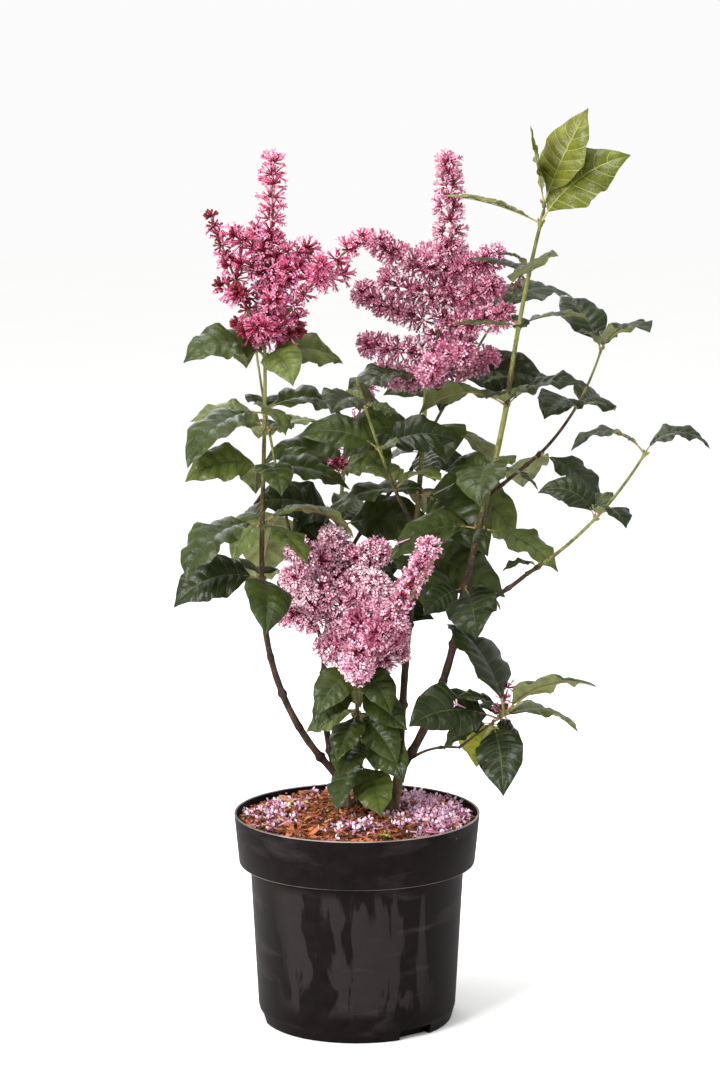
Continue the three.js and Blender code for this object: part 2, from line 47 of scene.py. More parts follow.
CAMERA_SENSOR = 36
FARTHEST_SEEN = 60
FLOOR_HALF = 14.0
SOFT_BOXES = {
    "key_box": {"place": (-2.1, -2.6, 2.1), "size": 1.2, "power": 160},
    "top_box": {"place": (-0.5, 0.0, 3.0), "size": 1.4, "power": 66},
    "fill_box": {"place": (2.7, -2.2, 1.5), "size": 1.9, "power": 10},
    "back_box": {"place": (-0.9, 2.4, 2.2), "size": 1.4, "power": 22},
}
BOXES_AIM = (0.0, 0.0, 0.55)
ROOM_LIGHT = 0.97
BLOTCHES = {"detail": 5, "roughness": 0.6, "dark_below": 0.36, "light_above": 0.64}
FINE_GRAIN = {"times_finer": 3, "detail": 3}


def paint(red, green, blue):
    """A paint chip's red, green and blue, 0 to 255, as the linear colour that a shader takes."""
    shares = [value / 255 for value in (red, green, blue)]
    return (*[s / 12.92 if s < 0.04045 else ((s + 0.055) / 1.055) ** 2.4 for s in shares], 1.0)


camera_data = bpy.data.cameras.new("camera")
camera_data.lens = CAMERA_LENS
camera_data.sensor_width = CAMERA_SENSOR
camera_data.clip_end = FARTHEST_SEEN
camera = bpy.data.objects.new("camera", camera_data)
camera.location = CAMERA_PLACE
camera.rotation_euler = (math.radians(90 - CAMERA_DOWN), 0, 0)
bpy.context.scene.collection.objects.link(camera)
bpy.context.scene.camera = camera

for box_name, box in SOFT_BOXES.items():
    lamp = bpy.data.lights.new(box_name, "AREA")
    lamp.size = box["size"]
    lamp.energy = box["power"]
    holder = bpy.data.objects.new(box_name, lamp)
    holder.location = box["place"]
    holder.rotation_euler = (Vector(BOXES_AIM) - holder.location).to_track_quat("-Z", "Y").to_euler()
    bpy.context.scene.collection.objects.link(holder)

room = bpy.data.worlds.new("white_room")
room.use_nodes = True
room.node_tree.nodes["Background"].inputs["Color"].default_value = (1, 1, 1, 1)
room.node_tree.nodes["Background"].inputs["Strength"].default_value = ROOM_LIGHT
bpy.context.scene.world = room
bpy.context.scene.view_settings.view_transform = "Standard"


def where_on(material, stretch=None):
    """Each spot's place on its piece, drawn out along the axes with a stretch under 1."""
    nodes, links = material.node_tree.nodes, material.node_tree.links
    place = nodes.new("ShaderNodeTexCoord").outputs["Object"]
    if stretch is None:
        return place
    scaled = nodes.new("ShaderNodeMapping")
    scaled.inputs["Scale"].default_value = stretch
    links.new(place, scaled.inputs["Vector"])
    return scaled.outputs["Vector"]


def cloudy(material, place, grain, detail, roughness=0.5, distortion=0.0):
    """Clouds from 0 to 1, so many a metre."""
    clouds = material.node_tree.nodes.new("ShaderNodeTexNoise")
    clouds.inputs["Scale"].default_value = grain
    clouds.inputs["Detail"].default_value = detail
    clouds.inputs["Roughness"].default_value = roughness
    clouds.inputs["Distortion"].default_value = distortion
    material.node_tree.links.new(place, clouds.inputs["Vector"])
    return clouds.outputs["Fac"]


def ramped(material, value, before, after):
    """A value carried from one pair of ends to another, and held at those ends."""
    ramp = material.node_tree.nodes.new("ShaderNodeMapRange")
    for end, number in zip(("From Min", "From Max", "To Min", "To Max"), (*before, *after)):
        ramp.inputs[end].default_value = number
    material.node_tree.links.new(value, ramp.inputs["Value"])
    return ramp.outputs["Result"]


def painted_over(material, share, colour):
    """Lays a second colour over a finish, as thickly at each spot as the share says."""
    nodes, links = material.node_tree.nodes, material.node_tree.links
    base = nodes["Principled BSDF"].inputs["Base Color"]
    mixed = nodes.new("ShaderNodeMix")
    mixed.data_type = "RGBA"
    links.new(share, mixed.inputs["Factor"])
    links.new(base.links[0].from_socket, mixed.inputs["A"])
    mixed.inputs["B"].default_value = colour
    links.new(mixed.outputs["Result"], base)


def embossed(material, value, strength, depth):
    """Raises a finish where the value is high, by a depth in millimetres, over any relief it has."""
    nodes, links = material.node_tree.nodes, material.node_tree.links
    normal = nodes["Principled BSDF"].inputs["Normal"]
    bump = nodes.new("ShaderNodeBump")
    bump.inputs["Strength"].default_value = strength
    bump.inputs["Distance"].default_value = depth * MM
    links.new(value, bump.inputs["Height"])
    if normal.is_linked:
        links.new(normal.links[0].from_socket, bump.inputs["Normal"])
    links.new(bump.outputs["Normal"], normal)


def natural_finish(
    name, dark, light, grain, stretch=(1, 1, 1), rough=(0.5, 0.7), relief=(0.3, 0.3), shine=0.35
):
    """A finish whose colour and gloss drift between two values in a grain of so many blotches a metre.
    relief is the bump's strength and its depth in millimetres."""
    material = bpy.data.materials.new(name)
    material.use_nodes = True
    nodes, links = material.node_tree.nodes, material.node_tree.links
    shader = nodes["Principled BSDF"]
    shader.inputs["Specular IOR Level"].default_value = shine
    place = where_on(material, stretch)
    blotches = cloudy(material, place, grain, BLOTCHES["detail"], BLOTCHES["roughness"])
    colours = nodes.new("ShaderNodeValToRGB")
    ends = ((BLOTCHES["dark_below"], dark), (BLOTCHES["light_above"], light))
    for element, (position, colour) in zip(colours.color_ramp.elements, ends):
        element.position = position
        element.color = colour
    links.new(blotches, colours.inputs["Fac"])
    links.new(colours.outputs["Color"], shader.inputs["Base Color"])
    links.new(ramped(material, blotches, (0, 1), rough), shader.inputs["Roughness"])
    fine = cloudy(material, place, FINE_GRAIN["times_finer"] * grain, FINE_GRAIN["detail"])
    embossed(material, fine, *relief)
    return material


def mesh_piece(name, points, faces, finishes, finish_of_face=None, sharp_over=None):
    """One piece from points in millimetres and lists of corners, its faces smooth but for its sharp edges."""
    mesh = bpy.data.meshes.new(name)
    mesh.from_pydata((np.asarray(points) * MM).tolist(), [], [list(map(int, face)) for face in faces])
    for material in finishes:
        mesh.materials.append(material)
    if finish_of_face is not None:
        mesh.polygons.foreach_set("material_index", np.asarray(finish_of_face, dtype=np.int32))
    mesh.polygons.foreach_set("use_smooth", np.ones(len(mesh.polygons), dtype=bool))
    if sharp_over is not None:
        mesh.set_sharp_from_angle(angle=math.radians(sharp_over))
    mesh.update()
    piece = bpy.data.objects.new(name, mesh)
    bpy.context.scene.collection.objects.link(piece)
    return piece


floor_half = FLOOR_HALF / MM
floor_corners = [(x * floor_half, y * floor_half, 0) for x, y in ((-1, -1), (1, -1), (1, 1), (-1, 1))]
off_white = natural_finish(
    "off_white_floor", paint(254, 254, 253), paint(255, 255, 254), 3, rough=(0.7, 0.8), relief=(0.02, 0.2)
)
floor = mesh_piece("floor", floor_corners, [(0, 1, 2, 3)], [off_white])

# ---- The pot ----
# A nursery container, injection moulded in thin black plastic with a straight collar and a stepped foot that
# is notched for drainage. It is dull from use, with dried splashes running down it and a pale lip that is
# partly worn plastic and partly a painted highlight, and a thin brownish painted highlight along the lower
# edge of its collar.
POT_HEIGHT = 240
RIM_RADIUS = 140
COLLAR_HEIGHT = 57
COLLAR_FOOT_RADIUS = 134.5
BODY_TOP_RADIUS = 122
BODY_FOOT_RADIUS = 113
FOOT_RADIUS = 108.5
FOOT_HEIGHT = 16
WALL = 2.6
FLOOR_THICKNESS = 3
DRAIN_GROOVE = {"inner": 62, "outer": 98, "depth": 8, "slope": 2, "corner": 6}
DRAIN_HOLES = {"count": 6, "radius": 6, "sides": 24}
FOOT_NOTCHES = {"count": 3, "first": -52.5, "width": 43, "height": 12, "depth": 38}
POT_SIDES = 144
EDGE_ROUNDING = 0.9
SHARP_EDGE = 50
# The size of the thin band of painted highlight at the collar's lower edge.
COLLAR_HIGHLIGHT_BAND = 1.3
LIP_DEPTH = 2.2
WARP = 0.5
SPLASHES = {"stretch": (1, 1, 0.25), "grain": 34, "bare": 0.49, "full": 0.52, "strength": 0.34}
SPLASHED = {"under_collar": (4, 16), "over_floor": (26, 40), "front": (-72, -92)}
SCUFFS = {"stretch": (0.3, 0.3, 1), "grain": 42, "bare": 0.58, "full": 0.8, "strength": 0.22}
BLOCK_CORNERS = np.array([(x, y, z) for x in (-0.5, 0.5) for y in (-0.5, 0.5) for z in (-0.5, 0.5)])
BLOCK_FACES = [(0, 1, 3, 2), (4, 6, 7, 5), (0, 4, 5, 1), (2, 3, 7, 6), (0, 2, 6, 4), (1, 5, 7, 3)]


def rounded(corners, radius):
    """A profile with each inner corner cut back to a small arc."""
    corners = [np.array(corner, dtype=float) for corner in corners]
    smooth = [corners[0]]
    for before, corner, after in zip(corners, corners[1:], corners[2:]):
        sides = [(end - corner) / np.linalg.norm(end - corner) for end in (before, after)]
        reach = min(radius, 0.4 * np.linalg.norm(before - corner), 0.4 * np.linalg.norm(after - corner))
        near, far = (corner + side * reach for side in sides)
        smooth += [near, 0.25 * near + 0.5 * corner + 0.25 * far, far]
    return np.array([*smooth, corners[-1]])


def ringed_faces(rings, sides):
    """The faces of a closed skin whose points are a middle, ring after ring round it, and an end."""
    faces = []
    for i in range(sides):
        j = (i + 1) % sides
        faces.append((0, 1 + j, 1 + i))
        for ring in range(rings - 1):
            low, high = 1 + ring * sides, 1 + (ring + 1) * sides
            faces.append((low + i, low + j, high + j, high + i))
        last = 1 + (rings - 1) * sides
        faces.append((last + i, last + j, last + sides))
    return faces


def lathed(profile, sides, warp=0.0):
    """A closed skin turned from a profile of radius and height that starts and ends on the axis, and warped
    out of round by so many millimetres at the rim."""
    turns = np.arange(sides) * 2 * np.pi / sides
    out_of_round = 1 + warp / RIM_RADIUS * (np.sin(2 * turns + 0.6) + 0.5 * np.sin(5 * turns))
    points = [(0, 0, profile[0][1])]
    for radius, height in profile[1:-1]:
        for turn, stretch in zip(turns, out_of_round):
            points.append((radius * stretch * math.cos(turn), radius * stretch * math.sin(turn), height))
    points.append((0, 0, profile[-1][1]))
    return np.array(points), ringed_faces(len(profile) - 2, sides)


def cut_away(piece, cutters):
    """Cuts the cutters' shapes out of a piece and removes them."""
    for cutter in cutters:
        cut = piece.modifiers.new(cutter.name, "BOOLEAN")
        cut.operation = "DIFFERENCE"
        cut.object = cutter
    scene_state = bpy.context.evaluated_depsgraph_get()
    whole = bpy.data.meshes.new_from_object(piece.evaluated_get(scene_state))
    piece.modifiers.clear()
    piece.data = whole
    for cutter in cutters:
        bpy.data.objects.remove(cutter)


def box_at(name, size, centre, turn):
    """A plain block for cutting, turned about the pot's axis."""
    x, y, z = (BLOCK_CORNERS * size + centre).T
    c, s = math.cos(math.radians(turn)), math.sin(math.radians(turn))
    return mesh_piece(name, np.stack([x * c - y * s, x * s + y * c, z], 1), BLOCK_FACES, [])


def pot_profile():
    """The pot's outside from the middle of its underside to the rim, then its inside back to the middle."""
    groove = DRAIN_GROOVE
    shoulder = POT_HEIGHT - COLLAR_HEIGHT
    outside = [
        (0, 0),
        (groove["inner"], 0),
        (groove["inner"] + groove["slope"], groove["depth"]),
        (groove["outer"] - groove["slope"], groove["depth"]),
        (groove["outer"], 0),
        (FOOT_RADIUS, 0),
        (BODY_FOOT_RADIUS, FOOT_HEIGHT),
        (BODY_TOP_RADIUS, shoulder),
        (COLLAR_FOOT_RADIUS, shoulder),
        (RIM_RADIUS, POT_HEIGHT),
    ]
    inside = [
        (RIM_RADIUS - WALL, POT_HEIGHT),
        (COLLAR_FOOT_RADIUS - WALL, shoulder + WALL),
        (BODY_TOP_RADIUS - WALL, shoulder + WALL),
        (BODY_FOOT_RADIUS - WALL, FOOT_HEIGHT),
        (groove["outer"] + groove["corner"], FLOOR_THICKNESS + groove["depth"]),
        (groove["inner"], FLOOR_THICKNESS + groove["depth"]),
        (groove["inner"] - WALL, FLOOR_THICKNESS),
        (0, FLOOR_THICKNESS),
    ]
    return rounded(outside + inside, EDGE_ROUNDING)


def dusty_black(name):
    """Dull black plastic, with dried grey splashes run down the front of the body and faint level scuffs."""
    material = natural_finish(
        name, paint(8, 4, 4), paint(17, 10, 10), 60, rough=(0.5, 0.68), relief=(0.12, 0.2), shine=0.06
    )
    nodes, links = material.node_tree.nodes, material.node_tree.links

    def smears(marks):
        clouds = cloudy(material, where_on(material, marks["stretch"]), marks["grain"], 3, distortion=0.4)
        return ramped(material, clouds, (marks["bare"], marks["full"]), (0, marks["strength"]))

    def times(first, second):
        product = nodes.new("ShaderNodeMath")
        product.operation = "MULTIPLY"
        links.new(first, product.inputs[0])
        links.new(second, product.inputs[1])
        return product.outputs["Value"]

    where = nodes.new("ShaderNodeSeparateXYZ")
    links.new(where_on(material), where.inputs["Vector"])

    def fading_in(axis, none_at, full_at):
        return ramped(material, where.outputs[axis], (none_at * MM, full_at * MM), (0, 1))

    shoulder = POT_HEIGHT - COLLAR_HEIGHT
    under_collar = fading_in("Z", *[shoulder - drop for drop in SPLASHED["under_collar"]])
    on_body = times(under_collar, fading_in("Z", *SPLASHED["over_floor"]))
    on_front = times(fading_in("Y", *SPLASHED["front"]), on_body)
    painted_over(material, times(smears(SPLASHES), on_front), paint(55, 50, 50))
    painted_over(material, smears(SCUFFS), paint(84, 76, 76))
    return material


# The lip's pale colour is partly worn plastic and partly a painted highlight along the rim.
worn_and_highlit_lip = natural_finish("worn_and_highlit_lip", paint(18, 14, 15), paint(140, 132, 130), 9, rough=(0.4, 0.6))
# The brownish band along the collar's lower edge is a painted highlight.
highlit_collar_edge = natural_finish("highlit_collar_edge", paint(20, 14, 13), paint(96, 80, 70), 14, rough=(0.4, 0.6))
pot_points, pot_faces = lathed(pot_profile(), POT_SIDES, WARP)
pot = mesh_piece("pot_shell", pot_points, pot_faces, [dusty_black("black_plastic"), worn_and_highlit_lip, highlit_collar_edge])
notch_cutters = [
    box_at(
        f"notch_{i}",
        (FOOT_NOTCHES["depth"], FOOT_NOTCHES["width"], 2 * FOOT_NOTCHES["height"]),
        (DRAIN_GROOVE["outer"] + FOOT_NOTCHES["depth"] / 2, 0, 0),
        FOOT_NOTCHES["first"] + i * 360 / FOOT_NOTCHES["count"],
    )
    for i in range(FOOT_NOTCHES["count"])
]
hole_cutters = []
for i in range(DRAIN_HOLES["count"]):
    turn = math.radians((i + 0.5) * 360 / DRAIN_HOLES["count"])
    middle = (DRAIN_GROOVE["inner"] + DRAIN_GROOVE["outer"]) / 2
    radius, reach = DRAIN_HOLES["radius"], 3 * DRAIN_GROOVE["depth"]
    drill_profile = [(0, -reach), (radius, -reach), (radius, reach), (0, reach)]
    drill_points, drill_faces = lathed(drill_profile, DRAIN_HOLES["sides"])
    drill_points += (middle * math.cos(turn), middle * math.sin(turn), 0)
    hole_cutters.append(mesh_piece(f"drill_{i}", drill_points, drill_faces, []))
cut_away(pot, notch_cutters + hole_cutters)
# Lip faces take the pale lip finish, which is partly a painted highlight, and a thin band at the collar's
# lower edge takes a painted highlight.
for face in pot.data.polygons:
    height, out = face.center.z / MM, face.center.xy.length / MM
    is_lip = height > POT_HEIGHT - LIP_DEPTH and out > RIM_RADIUS - WALL - 1
    at_collar_foot = abs(height - (POT_HEIGHT - COLLAR_HEIGHT)) < COLLAR_HIGHLIGHT_BAND
    is_highlit_band = at_collar_foot and out > COLLAR_FOOT_RADIUS - 2 * COLLAR_HIGHLIGHT_BAND
    face.material_index = 1 if is_lip else 2 if is_highlit_band else 0
pot.data.set_sharp_from_angle(angle=math.radians(SHARP_EDGE))
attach(pot, "root")
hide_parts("pot")

# ---- The compost ----
# Composted bark and coir, filled to just under the rim and heaped a little round the stems. This is its bed
# of dark crumbs, which fills the pot and carries the loose chips, fibres, seedlings and fallen florets.
SOIL_HEIGHT = 240
SOIL_EDGE = {"height": 232, "width": 66}
SOIL_GAP = 0.3
BED_SIDES = 150
BED_RINGS = 56
LUMPS = {"seed": 3, "waves": 14, "longest": 60, "shortest": 5}
CRUMBS = {"seed": 4, "waves": 30, "longest": 14, "shortest": 2.5}
LUMP_HEIGHT = 0.9
CRUMB_HEIGHT = 0.75
SETTLED = 2.2


def seeded_noise(seed, waves, longest, shortest):
    """A smooth lumpy height field from seeded waves between two wavelengths in millimetres."""
    chance = np.random.default_rng(seed)
    lengths = np.exp(chance.uniform(np.log(shortest), np.log(longest), waves))
    turns = chance.uniform(0, 2 * np.pi, waves)
    phases = chance.uniform(0, 2 * np.pi, waves)

    def height(x, y):
        total = 0
        for length, turn, phase in zip(lengths, turns, phases):
            along = (x * np.cos(turn) + y * np.sin(turn)) * 2 * np.pi / length
            total = total + length / longest * np.sin(along + phase)
        return total

    return height


lumps = seeded_noise(**LUMPS)
crumbs = seeded_noise(**CRUMBS)
soil_rim = RIM_RADIUS - WALL - SOIL_GAP - (POT_HEIGHT - SOIL_EDGE["height"]) * (
    (RIM_RADIUS - COLLAR_FOOT_RADIUS) / COLLAR_HEIGHT
)


def soil_top(x, y):
    """The height of the compost's surface at a place."""
    out = np.clip((soil_rim - np.hypot(x, y)) / SOIL_EDGE["width"], 0, 1)
    swell = SOIL_EDGE["height"] + (SOIL_HEIGHT - SOIL_EDGE["height"]) * out * (2 - out)
    return swell - SETTLED + LUMP_HEIGHT * lumps(x, y) + CRUMB_HEIGHT * crumbs(x, y)


def make_bed():
    """The body of the compost, with a crumbly top over the shape of the pot's inside."""
    turns = np.arange(BED_SIDES) * 2 * np.pi / BED_SIDES
    points = [(0, 0, float(soil_top(0, 0)))]
    for ring in range(1, BED_RINGS + 1):
        radius = soil_rim * ring / BED_RINGS
        x, y = radius * np.cos(turns), radius * np.sin(turns)
        points += list(zip(x, y, soil_top(x, y)))
    shoulder = POT_HEIGHT - COLLAR_HEIGHT + WALL + SOIL_GAP
    skin = WALL + SOIL_GAP
    for radius, height in (
        (COLLAR_FOOT_RADIUS - skin, shoulder),
        (BODY_TOP_RADIUS - skin, shoulder),
        (BODY_FOOT_RADIUS - skin, FOOT_HEIGHT + SOIL_GAP),
    ):
        points += list(zip(radius * np.cos(turns), radius * np.sin(turns), np.full(BED_SIDES, height)))
    points.append((0, 0, FOOT_HEIGHT + SOIL_GAP))
    upside_down = ringed_faces(BED_RINGS + 3, BED_SIDES)
    return points, [(face[0], *face[:0:-1]) for face in upside_down]


bed_points, bed_faces = make_bed()
dark_crumbs = natural_finish(
    "dark_crumbs", paint(36, 19, 10), paint(104, 56, 30), 420, rough=(0.85, 1.0), relief=(0.9, 1.2)
)
bed = mesh_piece("compost_bed", bed_points, bed_faces, [dark_crumbs])
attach(bed, "root")
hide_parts("compost")

# ---- The bark chips ----
# Loose bits of composted bark, split with the grain: long and thin, ragged at the corners, mostly rust brown
# with some dark ones and a few of bare straw-coloured wood, which gather in one patch near the back left.
CHIPS = {"count": 3400, "length": (2.5, 15), "width": (0.25, 0.55), "thickness": (0.7, 1.9), "seed": 5}
SHORT_ONES = 2.4
LEAST_WIDTH = 0.8
RAISED = 0.45
FROM_POT = 5
TILT = {"pitch": 0.28, "roll": 0.35}
RAGGED = (0.55, 1.1)


def chip_finish(name, dark, light, rough, relief=(0.5, 0.4)):
    """Dull split wood with a fine grain."""
    return natural_finish(name, dark, light, 160, rough=rough, relief=relief)


CHIP_FINISHES = [
    chip_finish("rust_chip", paint(146, 74, 38), paint(190, 110, 66), (0.7, 0.9)),
    chip_finish("brown_chip", paint(84, 42, 22), paint(130, 72, 40), (0.75, 0.95)),
    chip_finish("dark_chip", paint(38, 20, 12), paint(72, 40, 24), (0.8, 1.0)),
    chip_finish("straw_chip", paint(176, 132, 84), paint(204, 168, 120), (0.6, 0.85), (0.4, 0.3)),
]
STRAW = 3
CHIP_SHARES = [0.42, 0.3, 0.22, 0.06]
PALE_PATCH = {"middle": (-88, 52), "radius": 34, "ragged": (0.4, 1.2), "straw": 0.75}


def turned_axes(headings, pitches, rolls):
    """Along, across and upward directions of many small things lying about."""
    ch, sh, cp, sp = np.cos(headings), np.sin(headings), np.cos(pitches), np.sin(pitches)
    along = np.stack([ch * cp, sh * cp, sp], 1)
    level = np.stack([-sh, ch, np.zeros_like(ch)], 1)
    up = np.cross(along, level)
    across = level * np.cos(rolls)[:, None] + up * np.sin(rolls)[:, None]
    return along, across, np.cross(along, across)


def scattered(chance, count, reach):
    """Places spread evenly over a disc."""
    radius, turn = reach * np.sqrt(chance.random(count)), 2 * np.pi * chance.random(count)
    return radius * np.cos(turn), radius * np.sin(turn)


def make_chips():
    """Blocks with ragged corners, each lying on the compost at its own heading and tilt."""
    chance = np.random.default_rng(CHIPS["seed"])
    count = CHIPS["count"]
    low, high = CHIPS["length"]
    lengths = low + (high - low) * chance.random(count) ** SHORT_ONES
    widths = lengths * chance.uniform(*CHIPS["width"], count) + LEAST_WIDTH
    heights = chance.uniform(*CHIPS["thickness"], count)
    x, y = scattered(chance, count, soil_rim - FROM_POT)
    centres = np.stack([x, y, soil_top(x, y) + RAISED * heights], 1)
    headings = chance.uniform(0, 2 * np.pi, count)
    pitches = chance.normal(0, TILT["pitch"], count)
    rolls = chance.normal(0, TILT["roll"], count)
    axes = turned_axes(headings, pitches, rolls)
    corners = BLOCK_CORNERS * chance.uniform(*RAGGED, (count, 8, 3))
    points = centres[:, None, :]
    for k, size in enumerate((lengths, widths, heights)):
        points = points + corners[:, :, k, None] * (axes[k] * size[:, None])[:, None, :]
    faces = (np.arange(count)[:, None, None] * 8 + np.array(BLOCK_FACES)[None]).reshape(-1, 4)
    kinds = chance.choice(len(CHIP_FINISHES), count, p=CHIP_SHARES)
    patch_x, patch_y = PALE_PATCH["middle"]
    patch_reach = PALE_PATCH["radius"] * chance.uniform(*PALE_PATCH["ragged"], count)
    in_patch = np.hypot(x - patch_x, y - patch_y) < patch_reach
    kinds = np.where(in_patch & (chance.random(count) < PALE_PATCH["straw"]), STRAW, kinds)
    return points.reshape(-1, 3), faces, np.repeat(kinds, len(BLOCK_FACES))


chip_points, chip_faces, chip_kinds = make_chips()
chips = mesh_piece("bark_chips", chip_points, chip_faces, CHIP_FINISHES, chip_kinds, sharp_over=30)
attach(chips, "root")

# ---- The coir fibres ----
# Short curled hairs of coconut husk, mixed into the compost to hold water. The loose ones lie over the chips
# in low arches, thinning to nothing at the ends.
FIBRES = {"count": 420, "length": (9, 32), "radius": 0.33, "curl": 1.2, "steps": 6, "thinning": 0.6,
          "lift": 1.2, "arch": 3, "roots_from_pot": 16, "from_pot": 3, "seed": 6}


def unit(vectors):
    """Directions brought to a length of 1."""
    return vectors / np.linalg.norm(vectors, axis=-1, keepdims=True)


def tube(line, radii, sides, closed=True):
    """A round skin along a line of points, with a radius for each, or one for each side of each, and a flat
    face at each end if it is closed."""
    line = np.asarray(line, dtype=float)
    onward = unit(np.gradient(line, axis=0))
    start = np.array([1.0, 0, 0]) if abs(onward[0][0]) < 0.9 else np.array([0, 1.0, 0])
    across = unit(start - onward[0] * (start @ onward[0]))
    rings = []
    turns = np.arange(sides) * 2 * np.pi / sides
    for point, ahead, radius in zip(line, onward, radii):
        across = unit(across - ahead * (across @ ahead))
        up = np.cross(ahead, across)
        reach = np.reshape(radius, (-1, 1))
        rings.append(point + np.outer(np.cos(turns), across) * reach + np.outer(np.sin(turns), up) * reach)
    points = np.concatenate(rings)
    i = np.arange(sides)
    j = (i + 1) % sides
    faces = []
    for ring in range(len(line) - 1):
        low, high = ring * sides, (ring + 1) * sides
        faces += np.stack([low + i, low + j, high + j, high + i], 1).tolist()
    if closed:
        faces.append([int(k) for k in i[::-1]])
        faces.append([int(k) + (len(line) - 1) * sides for k in i])
    return points, faces


def joined(parts):
    """Several lots of points and faces as one."""
    points, faces, first = [], [], 0
    for part_points, part_faces in parts:
        points.append(part_points)
        faces += [[corner + first for corner in face] for face in part_faces]
        first += len(part_points)
    return np.concatenate(points), faces


def make_fibres():
    """Curled strands that arch a little over the compost, left out where they would reach the pot."""
    chance = np.random.default_rng(FIBRES["seed"])
    strands = []
    x, y = scattered(chance, FIBRES["count"], soil_rim - FIBRES["roots_from_pot"])
    steps = np.linspace(0, 1, FIBRES["steps"])
    for k in range(FIBRES["count"]):
        length = chance.uniform(*FIBRES["length"])
        heading = chance.uniform(0, 2 * np.pi)
        curl = chance.normal(0, FIBRES["curl"])
        turns = heading + curl * steps
        line_x = x[k] + np.cumsum(np.cos(turns)) * length / FIBRES["steps"]
        line_y = y[k] + np.cumsum(np.sin(turns)) * length / FIBRES["steps"]
        if (np.hypot(line_x, line_y) < soil_rim - FIBRES["from_pot"]).all():
            arch = FIBRES["lift"] + chance.uniform(0, FIBRES["arch"]) * np.sin(np.pi * steps)
            line = np.stack([line_x, line_y, soil_top(line_x, line_y) + arch], 1)
            strands.append(tube(line, FIBRES["radius"] * (1 - FIBRES["thinning"] * steps), 3))
    return joined(strands)


fibre_points, fibre_faces = make_fibres()
fibre = natural_finish("coir_fibre", paint(132, 70, 34), paint(190, 124, 70), 120, rough=(0.7, 0.9))
fibres = mesh_piece("coir_fibres", fibre_points, fibre_faces, [fibre])
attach(fibres, "root")

# ---- The weed sprouts ----
# Five little weed seedlings have come up in the compost, soft and yellow-green. Each is a rosette of oval
# leaves, every one turned on from the last by the golden angle.
SPROUTS = [
    {"place": (30, -112), "leaves": 9, "length": 9, "rise": 38},
    {"place": (36, -106), "leaves": 6, "length": 6, "rise": 50},
    {"place": (-44, -62), "leaves": 5, "length": 4, "rise": 45},
    {"place": (-30, -70), "leaves": 5, "length": 3.5, "rise": 50},
    {"place": (-52, -48), "leaves": 4, "length": 3.5, "rise": 40},
]
SPROUT_SEED = 9
SPROUT_VARIES = {"turn": (-12, 12), "rise": (-14, 14), "length": (0.75, 1.15)}
SPROUT_BLADE = {"along": [0.08, 0.35, 0.62, 0.86, 1.0], "wide": [0.12, 0.85, 1.0, 0.62, 0.04], "width": 0.3,
                "fold": 0.4, "droop": 0.2}
GOLDEN_ANGLE = 137.5


def make_sprouts():
    """The seedlings' leaves, each a folded blade in four pairs of faces."""
    chance = np.random.default_rng(SPROUT_SEED)
    blades = []
    for sprout in SPROUTS:
        x, y = sprout["place"]
        middle = np.array([x, y, soil_top(x, y) + 1.0])
        for k in range(sprout["leaves"]):
            turn = math.radians(GOLDEN_ANGLE * k + chance.uniform(*SPROUT_VARIES["turn"]))
            rise = math.radians(sprout["rise"] + chance.uniform(*SPROUT_VARIES["rise"]))
            length = sprout["length"] * chance.uniform(*SPROUT_VARIES["length"])
            level, upward = math.cos(rise), math.sin(rise)
            onward = np.array([math.cos(turn) * level, math.sin(turn) * level, upward])
            across = np.array([-math.sin(turn), math.cos(turn), 0]) * length * SPROUT_BLADE["width"]
            lift = np.cross(onward, across) * SPROUT_BLADE["fold"]
            points = []
            for share, width in zip(SPROUT_BLADE["along"], SPROUT_BLADE["wide"]):
                droop = np.array([0, 0, share**2 * length * SPROUT_BLADE["droop"]])
                spot = middle + onward * length * share - droop
                points += [spot - across * width + lift * width, spot, spot + across * width + lift * width]
            faces = []
            for row in range(len(SPROUT_BLADE["along"]) - 1):
                a, b = 3 * row, 3 * row + 3
                faces += [(a, a + 1, b + 1, b), (a + 1, a + 2, b + 2, b + 1)]
            blades.append((np.array(points), faces))
    return joined(blades)


sprout_points, sprout_faces = make_sprouts()
sprout_green = natural_finish(
    "sprout_green", paint(112, 118, 40), paint(150, 152, 66), 200, rough=(0.45, 0.6)
)
sprouts = mesh_piece("weed_sprouts", sprout_points, sprout_faces, [sprout_green])
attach(sprouts, "root")

# ---- The woody stems and boughs ----
# Several slender stems rise from two short trunks, and one from the compost, and fork into boughs. They are
# brown lilac wood with low lengthwise ridges, pale breathing dots, and a swelling with two old bud scars at
# every knot.
STEPS = 24
FLARE = {"height": 14, "spread": 0.3}
